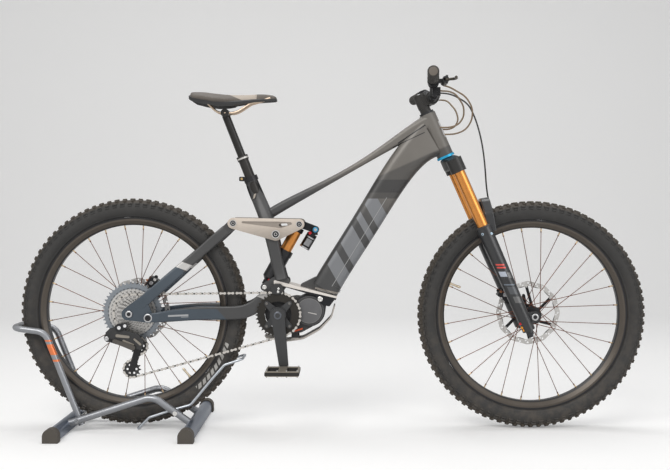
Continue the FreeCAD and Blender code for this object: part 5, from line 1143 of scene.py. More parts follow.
class BICYCLE_OT_wheels(BicycleOperator):
    """Make the knobbly tyres and valves, and finish rims, spokes, hubs and rotors"""

    bl_idname = "bicycle.wheels"
    bl_label = "Wheels"

    def execute(self, context):
        for end, centre, turn in (("rear", REAR_AXLE, -50.0), ("front", FRONT_AXLE, 159.0)):
            body = f"{end}_wheel"
            knobbly_tyre(end, centre, body)
            valve(f"{end}_valve", centre, math.radians(turn), body)
            dress(f"{end}_rim", rim_material(f"{end.title()} rim", centre))
            dress(f"{end}_hub", black_finish())
            dress(f"{end}_spokes", spoke_material(f"{end.title()} spokes", centre))
            dress(f"{end}_rotor", rotor_material(f"{end.title()} rotor", centre))
            rotor_rivets(end, centre, body)
            dress(f"{end}_axle", black_finish())
            dress(f"{end}_caliper", black_finish())
        holders = (("rear", REAR_AXLE, "seatstays"), ("front", FRONT_AXLE, "fork_lowers"))
        for end, _, body in holders:
            caliper_fittings(end, body)
        for end, centre, body in holders:
            axle_ring(end, centre, body)
        return {"FINISHED"}


# ------------------------------------------------------------------ drivetrain

CHAIN_PITCH = 0.0127
OUTER_LINK_WIDTH = 0.0046
COG_TEETH = (11, 13, 15, 17, 19, 21, 24, 28, 32, 37, 46)
RING_BOLT_REACH, RING_BOLT_Y = 0.0498, -0.0596
PEDAL_LEAN = {"right": 0.0, "left": math.radians(72.0)}


def cassette_finish():
    """Blue-grey outer sprockets round paler inner ones with dark drilled dots, and painted shade
    between the teeth.
    """
    finish = Finish("Cassette steel", Metallic=0.85)
    place = finish.place()
    away = finish.radius(place, REAR_AXLE)
    outer = finish.above(away, 0.0735, 0.0006)
    flat = finish.node("ShaderNodeVectorMath", {"operation": "MULTIPLY"})
    finish.feed(flat, 0, place)
    finish.feed(flat, 1, (1.0, 0.02, 1.0))
    cells = finish.node("ShaderNodeTexVoronoi", Vector=flat.outputs[0], Scale=88.0)
    dots = finish.below(cells.outputs[0], 0.15, 0.03)
    pale = finish.mix(finish.times(dots, 0.85), (0.60, 0.585, 0.565), (0.05, 0.05, 0.05))
    colour = finish.mix(outer, pale, (0.27, 0.295, 0.325))
    angle = finish.angle(place, REAR_AXLE)
    # Painted shade: a dark ring at each sprocket's teeth stands for the shadow in the gaps between
    # the teeth, on the next sprocket's face.
    for teeth in COG_TEETH:
        pitch = CHAIN_PITCH / (2 * math.sin(math.pi / teeth))
        ring = finish.between(away, pitch - 0.0004, pitch + 0.0026, 0.0003)
        tooth_gap_shade = finish.above(finish.math("SINE", finish.times(angle, teeth)), -0.1, 0.3)
        colour = finish.mix(finish.times(finish.times(ring, tooth_gap_shade), 0.62), colour,
                            (0.06, 0.06, 0.062))
    return finish.brushed(colour, (500.0, 90.0, 500.0), 0.38, 0.14, 0.06)


def mark_outer_links(mesh):
    """Notes on each point whether it belongs to a wide outer link or a narrow inner one."""
    spots = {}
    keys = [spots.setdefault(tuple(round(value, 6) for value in vertex.co), len(spots))
            for vertex in mesh.vertices]
    parent = list(range(len(spots)))

    def root(index):
        while parent[index] != index:
            parent[index] = parent[parent[index]]
            index = parent[index]
        return index

    for edge in mesh.edges:
        a, b = (root(keys[index]) for index in edge.vertices)
        if a != b:
            parent[a] = b
    reach = {}
    for key, vertex in zip(keys, mesh.vertices):
        low, high = reach.get(root(key), (vertex.co.y, vertex.co.y))
        reach[root(key)] = (min(low, vertex.co.y), max(high, vertex.co.y))
    wide = {key: high - low > OUTER_LINK_WIDTH for key, (low, high) in reach.items()}
    note = mesh.attributes.new("outer_link", "FLOAT", "POINT")
    note.data.foreach_set("value", [float(wide[root(key)]) for key in keys])


def chain_finish():
    """Plated links; the rollers and the inner plates are darker than the outer ones."""
    finish = Finish("Chain steel", Metallic=0.9)
    outer = finish.node("ShaderNodeAttribute", {"attribute_name": "outer_link"})
    colour = finish.mix(outer.outputs["Fac"], (0.10, 0.095, 0.088), (0.66, 0.63, 0.59))
    return finish.brushed(colour, (700.0, 700.0, 700.0), 0.32, 0.2, 0.05)


def plated_chain():
    """The chain's own shape as a piece, so that its points can note the wide links."""
    mesh = frame["nodes"]["chain"].data.copy()
    mark_outer_links(mesh)
    links = add_object("plated_chain", mesh)
    put_on(links, chain_finish())
    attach(links, "frame")
    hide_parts("chain")


def chainring_finish():
    """Brown-black ring whose teeth are worn bright."""
    finish = Finish("Chainring black", Metallic=0.5)
    away = finish.radius(finish.place(), pivot("crank_spin"))
    colour = finish.mix(finish.above(away, 0.0685, 0.0010), (0.030, 0.027, 0.023),
                        (0.095, 0.085, 0.070))
    return finish.grained(colour, 0.2, 0.42, 0.12, 900.0, 0.1)


def crank_finish():
    """Satin dark grey forging."""
    return plain_finish("Crank grey", (0.060, 0.061, 0.063), 0.42, drift=0.16, Metallic=0.45,
                        grain=1400.0, bump=0.12)


class BICYCLE_OT_drivetrain(BicycleOperator):
    """Finish chain, sprockets, derailleur, cranks and pedals, and add their small parts"""

    bl_idname = "bicycle.drivetrain"
    bl_label = "Drivetrain"

    def execute(self, context):
        plated_chain()
        dress("cassette", cassette_finish())
        dress("chainring", chainring_finish())
        dress("crank_arms", crank_finish())
        for node in ("derailleur_cage", "derailleur_body"):
            dress(node, black_finish())
        for node in ("guide_pulley", "tension_pulley"):
            dress(node, black_plastic())
        for side in ("right", "left"):
            dress(f"{side}_pedal", pedal_finish(side))
        crank_fittings()
        chain_guide()
        derailleur_fittings()
        return {"FINISHED"}


def crank_fittings():
    """Caps on the spindle's ends and the chainring's four bolts."""
    axis = pivot("crank_spin")
    low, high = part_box("crank_arms")
    blued = metal_finish("Blued steel", (0.15, 0.16, 0.18), 0.3)
    for (name, side), y in zip(SIDES, (low[1], high[1])):
        ring_band(f"{name}_crank_cap", (axis.x, y, axis.z), (0, side, 0),
                  [(-0.0006, 0.0118), (0.0004, 0.0118), (0.0009, 0.0110), (0.0009, 0.0074),
                   (-0.0006, 0.0070)], "crank", blued, 40)
    ring_bolt = metal_finish("Ring bolt", (0.20, 0.19, 0.18), 0.35)
    for index in range(4):
        angle = math.radians(45 + 90 * index)
        spot = (axis.x + RING_BOLT_REACH * math.cos(angle), RING_BOLT_Y,
                axis.z + RING_BOLT_REACH * math.sin(angle))
        bolt_head(f"chainring_bolt_{index}", spot, NEAR, 0.0040, 0.0014, "crank", ring_bolt)


def chain_guide():
    """A hooked cover over the top of the chainring, held by the main pivot's bolt."""
    outline = [(-0.1905, 0.4405), (-0.1850, 0.4265), (-0.1700, 0.4235), (-0.1560, 0.4270),
               (-0.1500, 0.4390), (-0.1525, 0.4500), (-0.1600, 0.4570), (-0.1760, 0.4575),
               (-0.1870, 0.4520)]
    flat_piece("chain_guide", outline, -0.0584, -0.0562, "frame", black_plastic())
    roof = [(-0.1870, 0.4520), (-0.1860, 0.4493), (-0.1755, 0.4548), (-0.1605, 0.4543),
            (-0.1545, 0.4490), (-0.1525, 0.4500), (-0.1600, 0.4570), (-0.1760, 0.4575)]
    flat_piece("chain_guide_roof", roof, -0.0566, -0.0466, "frame", black_plastic(),
               0.0003)
    for index, (x, z) in enumerate(((-0.1655, 0.4425), (-0.1668, 0.4325))):
        bolt_head(f"chain_guide_bolt_{index}", (x, -0.0583, z), NEAR, 0.0036, 0.0010,
                  "frame", bright_finish())
    axis = pivot("suspension")
    bolt_head("main_pivot_bolt", (axis.x, -0.0463, axis.z), NEAR, 0.0085, 0.0022, "frame",
              steel_finish())


def derailleur_fittings():
    """Bolt heads, two dark links, the cover, and three pale links that are painted highlights on the
    linkage.
    """
    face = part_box("derailleur_body")[0][1]
    cage_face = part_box("derailleur_cage")[0][1]
    hanger = REAR_AXLE + Vector((-0.012, 0, -0.036))
    knuckle = REAR_AXLE + Vector((-0.030, 0, -0.042))
    elbow = REAR_AXLE + Vector((-0.066, 0, -0.074))
    guide = pivot("guide_pulley_spin")
    pale = metal_finish("Pale bolt", (0.84, 0.84, 0.85), 0.3, Metallic=0.6)
    for name, spot, radius in (("hanger_bolt", hanger, 0.0052),
                               ("knuckle_bolt", knuckle, 0.0056)):
        bolt_head(name, (spot.x, face + 0.0002, spot.z), NEAR, radius, 0.0024, "seatstays",
                  pale)
    link = [(knuckle.x - 0.011, knuckle.z - 0.008, 0.0062),
            (elbow.x + 0.010, elbow.z + 0.010, 0.0050)]
    flat_piece("derailleur_outer_link", hull_outline(link), face + 0.0031, face + 0.0060,
               "seatstays", nickel_finish())
    lower = [(guide.x - 0.010, guide.z + 0.001, 0.0085),
             (elbow.x + 0.022, elbow.z - 0.008, 0.0060)]
    flat_piece("derailleur_inner_link", hull_outline(lower), -0.0905, -0.0860, "seatstays",
               nickel_finish())
    cover = [(-0.6640, 0.3262), (-0.6272, 0.3123), (-0.5976, 0.3055), (-0.5800, 0.2797),
             (-0.5880, 0.2540), (-0.6182, 0.2600), (-0.6712, 0.2860), (-0.6980, 0.2925),
             (-0.6980, 0.3085), (-0.6832, 0.3225)]
    flat_piece("derailleur_cover", cover, face + 0.0030, face + 0.0066, "seatstays",
               black_plastic(), 0.0012)
    # Painted highlight: three pale metal links on the cover's face stand for glints of light on the
    # linkage.
    nickel_glint = metal_finish("Nickel glint", (0.34, 0.31, 0.27), 0.32)
    for index, circles in enumerate((((-0.6620, 0.2990, 0.0048), (-0.6270, 0.2950, 0.0040)),
                                     ((-0.6420, 0.2835, 0.0032), (-0.6120, 0.2710, 0.0030)),
                                     ((-0.6080, 0.2880, 0.0032), (-0.5900, 0.2720, 0.0034)))):
        flat_piece(f"derailleur_link_{index}", hull_outline(circles), face + 0.0012,
                   face + 0.0031, "seatstays", nickel_glint, 0.0006)
    bolt_head("elbow_bolt", (elbow.x, -0.0967, elbow.z), NEAR, 0.0068, 0.0022, "seatstays",
              steel_finish())
    bolt_head("guide_pulley_bolt", (guide.x, cage_face + 0.0002, guide.z), NEAR, 0.0050,
              0.0016, "derailleur_cage", steel_finish())


def pedal_finish(side):
    """Black platform with bare worn edges and steel pins."""
    finish = Finish(f"{side.title()} pedal", Metallic=0.5)
    lean = PEDAL_LEAN[side]
    normal = Vector((math.sin(lean), 0.0, math.cos(lean)))
    height = finish.size(finish.from_point(finish.place(), normal, pivot(f"{side}_pedal_spin")))
    pins = finish.above(height, 0.0078, 0.0001)
    edge = finish.above(height, 0.0054, 0.0003)
    colour = finish.mix(finish.times(edge, 0.75), (0.030, 0.028, 0.026), (0.36, 0.32, 0.26))
    colour = finish.mix(pins, colour, (0.6, 0.6, 0.6))
    return finish.grained(colour, 0.25, 0.42, 0.12, 900.0, 0.12)


# ------------------------------------------------------------------ suspension

TANK_TOP = Vector((-0.062, 0.0, 0.610))
TANK_END = Vector((-0.088, 0.0, 0.566))
TANK_AXIS = (TANK_END - TANK_TOP).normalized()
SHOCK_KNOB = Vector((-0.052, 0.0, 0.624))
ROCKER_TAIL = (-0.306, 0.0, 0.645)
STAY_PIVOT_Y = 0.0894


def shock_finish():
    """Gold shaft; the reservoir beside it is black with a grey panel round it."""
    finish = Finish("Shock body", Metallic=0.8)
    place = finish.place()
    eye, top = pivot("shock_can_swing"), pivot("shock_body_swing")
    axis = (top - eye).normalized()
    away = finish.size(finish.from_point(place, Vector((axis.z, 0.0, -axis.x)), eye))
    run = finish.from_point(place, axis, eye)
    shaft = finish.times(finish.below(away, 0.0182, 0.0001),
                         finish.below(run, (top - eye).length - 0.0255, 0.0002))
    colour = finish.mix(shaft, (0.026, 0.026, 0.028), tuple(colours().gold))
    down = finish.from_point(place, TANK_AXIS, TANK_TOP)
    beside = finish.from_point(place, Vector((TANK_AXIS.z, 0.0, -TANK_AXIS.x)), TANK_TOP)
    panel = finish.times(finish.between(down, 0.018, 0.041),
                         finish.between(beside, -0.0125, 0.0085))
    colour = finish.mix(panel, colour, (0.30, 0.305, 0.315))
    return finish.grained(colour, 0.06, 0.3, 0.08, 1500.0, 0.03)


def rocker_finish():
    """Champagne faces over recesses and edges darkened as painted shade; the faces have painted
    light, brighter high up and darker low down.
    """
    finish = Finish("Rocker champagne", Metallic=0.55)
    place = finish.place()
    across = finish.size(finish.along(place, ACROSS))
    face = finish.above(across, box_size("rocker_link").y / 2 - 0.0021, 0.0002)
    tone = tuple(colours().rocker)
    # Painted shade in the recesses and on the edges, and painted light on the faces: bright high up,
    # darker low down.
    shaded = tuple(value * 0.48 for value in tone)
    lit = finish.above(finish.along(place, UP), 0.628, 0.035)
    face_light_and_shade = finish.mix(lit, tuple(value * 0.55 for value in tone), tone)
    colour = finish.mix(face, shaded, face_light_and_shade)
    return finish.brushed(colour, (60.0, 700.0, 900.0), 0.40, 0.12, 0.05)


def pivot_finish():
    """Black bolt heads with a bright outer ring and a bright socket."""
    finish = Finish("Pivot bolts", Metallic=0.8)
    place = finish.place()
    mask = 0.0
    for centre, ring, core in ((pivot("rocker_swing"), (0.0100, 0.0130), (0.0035, 0.00525)),
                               (pivot("shock_body_swing"), (0.008, 0.0104), (0.0028, 0.0042)),
                               (ROCKER_TAIL, (0.0084, 0.0110), (0.0036, 0.0050))):
        away = finish.radius(place, centre)
        mask = finish.most(mask, finish.most(finish.between(away, *ring, 0.0002),
                                             finish.between(away, *core, 0.0002)))
    colour = finish.mix(mask, (0.030, 0.030, 0.033), (0.66, 0.65, 0.64))
    return finish.brushed(colour, (500.0, 500.0, 500.0), 0.32, 0.12, 0.04)


class BICYCLE_OT_suspension(BicycleOperator):
    """Finish the rocker, its bolts and the shock, and add the shock's dials"""

    bl_idname = "bicycle.suspension"
    bl_label = "Rear suspension"

    def execute(self, context):
        dress("rocker_link", rocker_finish())
        dress("pivot_bolts", pivot_finish())
        dress("shock_can", black_finish())
        dress("shock_body", shock_finish())
        shock_fittings()
        stay_pivots()
        return {"FINISHED"}


def shock_fittings():
    """The shock's dials, the reservoir's rings and the bolt in its lower eye."""
    dial("shock_blue_dial", SHOCK_KNOB + Vector((0, -0.0195, 0)), NEAR, 0.0088, 0.0050,
         (0.06, 0.34, 0.58), "shock_body")
    bolt_head("shock_dial_cap", SHOCK_KNOB + Vector((0, -0.0243, 0)), NEAR, 0.0046, 0.0018,
              "shock_body", steel_finish())
    dial("shock_red_dial", (-0.0690, -0.0115, 0.6135), NEAR, 0.0054, 0.0050,
         (0.62, 0.03, 0.04), "shock_body")
    dial("shock_lock_dial", (-0.1975, -0.0235, 0.4665), NEAR, 0.0042, 0.0030,
         (0.62, 0.02, 0.03), "shock_can")
    for name, spot in (("tank_cap", TANK_END - TANK_AXIS * 0.0052),
                       ("tank_collar", TANK_TOP + TANK_AXIS * 0.0100)):
        ring_band(name, spot, TANK_AXIS, [(0.0, 0.0160), (0.0006, 0.0173), (0.0046, 0.0173),
                                          (0.0052, 0.0160)], "shock_body", steel_finish())
    bolt_head("shock_eye_bolt", pivot("shock_can_swing") + Vector((0, -0.0353, 0)), NEAR,
              0.0070, 0.0014, "shock_can", bright_finish())


def stay_pivots():
    """A bolt head inside a steel ring on each side of the rear stays' joint."""
    axle = pivot("stay_swing")
    for name, side in SIDES:
        spot, out = (axle.x, side * STAY_PIVOT_Y, axle.z), (0, side, 0)
        bolt_head(f"{name}_stay_pivot", spot, out, 0.0086, 0.0020, "swingarm",
                  black_finish())
        ring_band(f"{name}_stay_pivot_ring", spot, out,
                  [(-0.0004, 0.0128), (0.0009, 0.0128), (0.0014, 0.0120), (0.0014, 0.0094),
                   (-0.0004, 0.0090)], "swingarm", steel_finish(), 36)


# ------------------------------------------------------------------ fork

LEG_BEHIND = -0.033
LEG_Y = 0.067
LEG_TOP_UP = 0.317
# radius of the collar at a leg's top
LEG_COLLAR = 0.0236
DARK_DIAL, RED_DIAL, ORANGE_DIAL = (0.05, 0.05, 0.055), (0.62, 0.02, 0.03), (0.86, 0.34, 0.02)
# height and reach from the leg's middle line, colour
LEG_SCREWS = ((0.0000, -0.0165, RED_DIAL), (-0.0130, -0.0170, ORANGE_DIAL),
              (-0.0225, -0.0150, ORANGE_DIAL))
# low and high along the leg, near and far across it, colour
FORK_BARS = ((0.1895, 0.1945, -0.0140, 0.0100, (0.72, 0.07, 0.05)),
             (0.1800, 0.1850, -0.0140, 0.0100, (0.72, 0.07, 0.05)),
             (0.1520, 0.1690, -0.0150, 0.0040, (0.46, 0.50, 0.58)),
             (0.1480, 0.1660, 0.0065, 0.0160, (0.17, 0.17, 0.17)),
             (0.0930, 0.1180, -0.0100, 0.0130, (0.075, 0.080, 0.088)),
             (0.0640, 0.0850, -0.0060, 0.0130, (0.13, 0.13, 0.13)),
             (0.1230, 0.1270, -0.0150, 0.0150, (0.16, 0.19, 0.23)))


def leg_spot(up, forward=0.0, y=-LEG_Y):
    """A point by its height up a fork leg from the level of the axle."""
    return FRONT_AXLE + STEER_UP * up + STEER_FRONT * (LEG_BEHIND + forward) + AXIS_Y * y


def gold_finish():
    return finish_of("gold", metal_finish, "Gold coating", tuple(colours().gold), 0.24,
                     stretch=(200.0, 200.0, 30.0), spread=0.06, bump=0.02, Metallic=0.92)


def fork_finish():
    """Gloss black castings with plain slanted bars on the outer faces of the legs."""
    finish = Finish("Fork black", Metallic=0.15, Coat_Weight=0.4, Coat_Roughness=0.14)
    place = finish.place()
    up = finish.from_point(place, STEER_UP, FRONT_AXLE)
    ahead = finish.along(place, STEER_FRONT, FRONT_AXLE.dot(STEER_FRONT) + LEG_BEHIND)
    outer = finish.above(finish.size(finish.along(place, ACROSS)), 0.0700, 0.001)
    level = finish.plus(up, finish.times(ahead, 0.42))
    colour = (0.024, 0.025, 0.027)
    for low, high, near, far, tone in FORK_BARS:
        bar = finish.times(finish.between(level, low, high), finish.between(ahead, near, far))
        colour = finish.mix(finish.times(bar, outer), colour, tone)
    return finish.grained(colour, 0.12, 0.32, 0.10, 1500.0, 0.04)


class BICYCLE_OT_fork(BicycleOperator):
    """Finish the fork and add its adjusters, seals and bolts"""

    bl_idname = "bicycle.fork"
    bl_label = "Fork"

    def execute(self, context):
        dress("fork_lowers", fork_finish())
        dress("fork_crown", plain_finish("Upper fork black", (0.034, 0.033, 0.032), 0.36,
                                         drift=0.15, Metallic=0.35))
        dress("stanchions", gold_finish())
        leg_tops()
        leg_dials()
        return {"FINISHED"}


def leg_tops():
    """A wiper seal and two air bleed screws at the top of each leg."""
    pale = metal_finish("Pale blue alloy", (0.46, 0.58, 0.68), 0.3, Metallic=0.7)
    for name, side in SIDES:
        y = side * LEG_Y
        ring_band(f"{name}_wiper_seal", leg_spot(LEG_TOP_UP, 0, y), STEER_UP,
                  [(-0.0010, 0.0252), (0.0004, 0.0254), (0.0020, 0.0238), (0.0046, 0.0196),
                   (0.0046, 0.0181), (-0.0010, 0.0181)],
                  "fork_lowers", black_plastic())
        for index, (up, forward) in enumerate(((0.300, -0.0130), (0.291, 0.0120))):
            reach = math.sqrt(LEG_COLLAR ** 2 - forward ** 2)
            out = (STEER_FRONT * forward + AXIS_Y * (side * reach)).normalized()
            spot = leg_spot(up, 0, y) + out * (LEG_COLLAR - 0.0004)
            bolt_head(f"{name}_air_bleed_{index}", spot, out, 0.0042, 0.0022, "fork_lowers",
                      pale)


def leg_dials():
    """The damping dials under the right leg and the small screws on its side."""
    for name, up, radius, height in (("rebound_dial", -0.0395, 0.0105, 0.0080),
                                     ("rebound_inner_dial", -0.0470, 0.0070, 0.0060)):
        dial(name, leg_spot(up), -STEER_UP, radius, height, DARK_DIAL, "fork_lowers")
    for index, (up, forward, tone) in enumerate(LEG_SCREWS):
        dial(f"leg_screw_{index}", leg_spot(up, forward, -LEG_Y - 0.0085), NEAR, 0.0044,
             0.0052, tone, "fork_lowers")


# ------------------------------------------------------------------ cockpit

RIBS_FROM, RIB_PITCH = 0.0160, 0.0034


def grip_ends():
    """Middle of each grip's inner and outer end, read from the grips' own corners."""
    corners = [vertex.co for vertex in frame["nodes"]["grips"].data.vertices]
    reach = max(abs(corner.y) for corner in corners)
    near = min(abs(corner.y) for corner in corners)
    ends = []
    for name, side in SIDES:
        found = []
        for low, high in ((near - 1e-4, near + 0.004), (reach - 0.004, reach + 1e-4)):
            cluster = [corner for corner in corners
                       if corner.y * side > 0 and low <= abs(corner.y) <= high]
            box_low = Vector([min(c[i] for c in cluster) for i in range(3)])
            box_high = Vector([max(c[i] for c in cluster) for i in range(3)])
            found.append((box_low + box_high) / 2)
        ends.append((name, *found))
    return ends


def ribbed_grip(name, start, end):
    """A rubber sleeve: a flange, a lock ring, ribs round the palm and a domed end."""
    length = (end - start).length + 0.0004
    rib = sizes().grip_rib
    profile = [(0.0000, 0.0150), (0.0006, 0.0168), (0.0060, 0.0173), (0.0112, 0.0168),
               (0.0120, 0.0158), (0.0150, 0.0152)]
    along = RIBS_FROM
    while along < length - 0.014:
        swell = 0.0005 * math.sin(math.pi * (along - RIBS_FROM) / (length - 0.03))
        base = 0.0149 + swell
        profile += [(along, base), (along + RIB_PITCH * 0.22, base + rib),
                    (along + RIB_PITCH * 0.66, base + rib), (along + RIB_PITCH * 0.88, base)]
        along += RIB_PITCH
    profile += [(length - 0.0105, 0.0152), (length - 0.0098, 0.0164), (length - 0.0030, 0.0164),
                (length - 0.0008, 0.0152), (length, 0.0120), (length + 0.0002, 0.0060)]
    bm = bmesh.new()
    lathe(bm, profile, start, end - start, 40)
    piece_from(bm, name, "cockpit", finish_of("grip", plain_finish, "Grip rubber",
                                              (0.036, 0.033, 0.030), 0.66, drift=0.25,
                                              grain=1400.0, bump=0.35),
               replaces=("grips",))
    bm = bmesh.new()
    lathe(bm, [(0.0, 0.0122), (0.0003, 0.0120), (0.0005, 0.0108)],
          start + (end - start).normalized() * length, end - start, 32)
    piece_from(bm, f"{name}_cap", "cockpit", finish_of("grip_cap", plain_finish, "Grip cap",
                                                       (0.14, 0.12, 0.10), 0.5))


class BICYCLE_OT_cockpit(BicycleOperator):
    """Make the ribbed grips and finish the bar, stem, levers and hoses"""

    bl_idname = "bicycle.cockpit"
    bl_label = "Cockpit"

    def execute(self, context):
        for node in ("handlebar", "bar_controls", "shift_lever", "dropper_lever"):
            dress(node, black_finish())
        dress("stem", plain_finish("Stem black", (0.038, 0.036, 0.034), 0.4, drift=0.15,
                                   Metallic=0.35))
        for node in ("right_brake_lever", "left_brake_lever"):
            dress(node, metal_finish(f"{node} alloy", (0.105, 0.095, 0.082), 0.34))
        dress("front_brake_hose", plain_finish("Hose black", (0.020, 0.019, 0.018), 0.42,
                                               grain=2500.0, bump=0.2))
        dress("control_cables", plain_finish("Cable tan", (0.215, 0.150, 0.090), 0.45,
                                             drift=0.25, grain=2500.0, bump=0.2))
        for name, start, end in grip_ends():
            ribbed_grip(f"{name}_grip", start, end)
        cockpit_fittings()
        return {"FINISHED"}


def cockpit_fittings():
    """Bolts in the top cap, in the stem's faceplate and in the levers' pivots."""
    bolt_head("top_cap_bolt", CROWN_RACE + STEER_UP * 0.2108, STEER_UP, 0.0062, 0.0024,
              "cockpit", steel_finish())
    bar = CROWN_RACE + STEER_UP * 0.186 + STEER_FRONT * 0.034
    for index, (y, lift) in enumerate(((-0.017, 0.0125), (0.017, 0.0125), (-0.017, -0.0125),
                                       (0.017, -0.0125))):
        spot = bar + STEER_UP * lift + STEER_FRONT * 0.0150 + AXIS_Y * y
        bolt_head(f"faceplate_bolt_{index}", spot, STEER_FRONT, 0.0036, 0.0042, "cockpit",
                  steel_finish())
    for name, _ in SIDES:
        brake = pivot(f"{name}_brake")
        bolt_head(f"{name}_lever_bolt", (brake.x, brake.y, brake.z + 0.0118), UP, 0.0040,
                  0.0020, "cockpit", steel_finish())


# ------------------------------------------------------------------ saddle and post

SADDLE_NOSE = box_centre("saddle").x + box_size("saddle").x / 2
SADDLE_LENGTH = box_size("saddle").x
SADDLE_HALF = box_size("saddle").y / 2
SADDLE_TOP = 1.050
SADDLE_STEPS, COVER_SECTIONS, STITCH_STEPS = 18, 44, 60
SWELL_FRAMES = 20
PANEL_FRONT = -0.2357
POST_TOP = Vector((-0.256, 0.0, 0.784))
# share from tail to nose, share of the half width, lift of the top, depth of the side
SADDLE_STATIONS = ((0.00, 0.56, 0.0064, 0.022), (0.05, 0.84, 0.0062, 0.031),
                   (0.18, 1.00, 0.0024, 0.035), (0.30, 0.93, -0.0018, 0.036),
                   (0.42, 0.76, -0.0048, 0.033), (0.53, 0.55, -0.0056, 0.029),
                   (0.64, 0.41, -0.0050, 0.026), (0.76, 0.33, -0.0030, 0.024),
                   (0.88, 0.28, -0.0012, 0.024), (0.96, 0.24, -0.0032, 0.021),
                   (1.00, 0.14, -0.0085, 0.013))


def saddle_section(share, slim):
    """A closed outline across the saddle: crowned on top, hollow underneath."""
    for first, second in zip(SADDLE_STATIONS, SADDLE_STATIONS[1:]):
        if share <= second[0] + 1e-9:
            break
    blend = max(0.0, min(1.0, (share - first[0]) / (second[0] - first[0])))
    blend = blend * blend * (3 - 2 * blend) * 0.35 + blend * 0.65
    breadth, lift, deep = (a + (b - a) * blend for a, b in zip(first[1:], second[1:]))
    x = SADDLE_NOSE - SADDLE_LENGTH * (1 - share)
    x += slim if share < 0.01 else (-slim if share > 0.99 else 0.0)
    wide = SADDLE_HALF * breadth - slim
    top = SADDLE_TOP + lift - slim
    deep -= slim
    points = []
    for i in range(SADDLE_STEPS + 1):
        across = -1 + 2 * i / SADDLE_STEPS
        bow = abs(across) ** 2.6
        points.append(Vector((x, wide * math.copysign(abs(across) ** 0.86, across),
                              top - deep * 0.62 * bow)))
    under = ((1.0, deep), (0.86, deep), (0.52, 0.0135), (-0.52, 0.0135), (-0.86, deep),
             (-1.0, deep))
    return points + [Vector((x, wide * across, top - drop)) for across, drop in under]


def loft_sections(bm, sections):
    """Skins a row of closed outlines and closes both ends."""
    rings = [[bm.verts.new(point) for point in section] for section in sections]
    grid_faces(bm, rings, closed_rings=False)
    cap_rings(bm, rings)


def padded_cover():
    """The saddle's padding, swollen by pressure inside a cap, then smoothed."""
    bm = bmesh.new()
    loft_sections(bm, [saddle_section(i / COVER_SECTIONS, 0.0028)
                       for i in range(COVER_SECTIONS + 1)])
    bmesh.ops.recalc_face_normals(bm, faces=bm.faces)
    cover = add_object("saddle_cover", mesh_from(bm, "saddle_cover"))
    remesh = cover.modifiers.new("voxels", "REMESH")
    remesh.mode = "VOXEL"
    remesh.voxel_size = 0.0040
    smoothed(cover, 6)
    bake_modifiers(cover)
    inflate(cover, sizes().saddle_swell)
    smoothed(cover, 3)
    subdivide = cover.modifiers.new("finer", "SUBSURF")
    subdivide.levels = 1
    subdivide.render_levels = 1
    bake_modifiers(cover)
    return cover


def smoothed(obj, times):
    """Adds a smoothing modifier of some passes."""
    smooth = obj.modifiers.new("smooth", "SMOOTH")
    smooth.factor = 0.5
    smooth.iterations = times


def bake_modifiers(obj):
    """Replaces an object's mesh by what its modifiers make of it."""
    graph = bpy.context.evaluated_depsgraph_get()
    made = bpy.data.meshes.new_from_object(obj.evaluated_get(graph))
    old = obj.data
    obj.modifiers.clear()
    obj.data = made
    bpy.data.meshes.remove(old)


def inflate(obj, cap):
    """Cloth pressure for some frames, with no point moved further than the cap."""
    start = [vertex.co.copy() for vertex in obj.data.vertices]
    cloth = obj.modifiers.new("pressure", "CLOTH")
    settings = cloth.settings
    settings.quality = 5
    settings.mass = 0.2
    settings.tension_stiffness = 25.0
    settings.compression_stiffness = 25.0
    settings.shear_stiffness = 12.0
    settings.bending_stiffness = 1.5
    settings.use_pressure = True
    settings.uniform_pressure_force = 4.0
    settings.effector_weights.gravity = 0.0
    cloth.collision_settings.use_collision = False
    cloth.point_cache.frame_start = 1
    cloth.point_cache.frame_end = SWELL_FRAMES
    scene = bpy.context.scene
    for number in range(1, SWELL_FRAMES + 1):
        scene.frame_set(number)
    graph = bpy.context.evaluated_depsgraph_get()
    swollen = obj.evaluated_get(graph).data
    moved = []
    for before, vertex in zip(start, swollen.vertices):
        step = vertex.co - before
        if step.length > cap:
            step = step.normalized() * cap
        moved.append(before + step)
    obj.modifiers.clear()
    for vertex, place in zip(obj.data.vertices, moved):
        vertex.co = place
    scene.frame_set(1)


def cover_material():
    """Fine pebbled leather, dark brown, with a paler slanted panel behind the nose."""
    finish = Finish("Saddle leather", Sheen_Weight=0.15, Sheen_Roughness=0.5)
    place = finish.place()
    back = finish.along(place, AHEAD)
    height = finish.along(place, UP)
    slanted = finish.plus(back, finish.times(height, 2.33))
    panel = finish.times(finish.above(slanted, 2.1130, 0.0008), finish.below(back, PANEL_FRONT))
    colour = finish.mix(panel, (0.088, 0.073, 0.060), (0.400, 0.345, 0.290))
    low = finish.below(height, 1.022, 0.010)
    colour = finish.mix(finish.times(low, 0.55), colour, (0.030, 0.027, 0.025))
    return finish.grained(colour, 0.22, 0.58, 0.12, 1500.0, 0.35)


def stitch_row(bm, tree, rays):
    """Every second gap between a row of rays gets a short thread that lies on the cover."""
    for first, second in list(zip(rays, rays[1:]))[::2]:
        hits = [tree.ray_cast(*ray)[:2] for ray in (first, second)]
        if hits[0][0] is None or hits[1][0] is None:
            continue
        start, end = (hit + normal * 0.0001 for hit, normal in hits)
        axis = end - start
        length = axis.length
        if length < 1e-5:
            continue
        lathe(bm, [(0.0, 0.00012), (length * 0.15, 0.0004), (length * 0.85, 0.0004),
                   (length, 0.00012)], start, axis, 8)


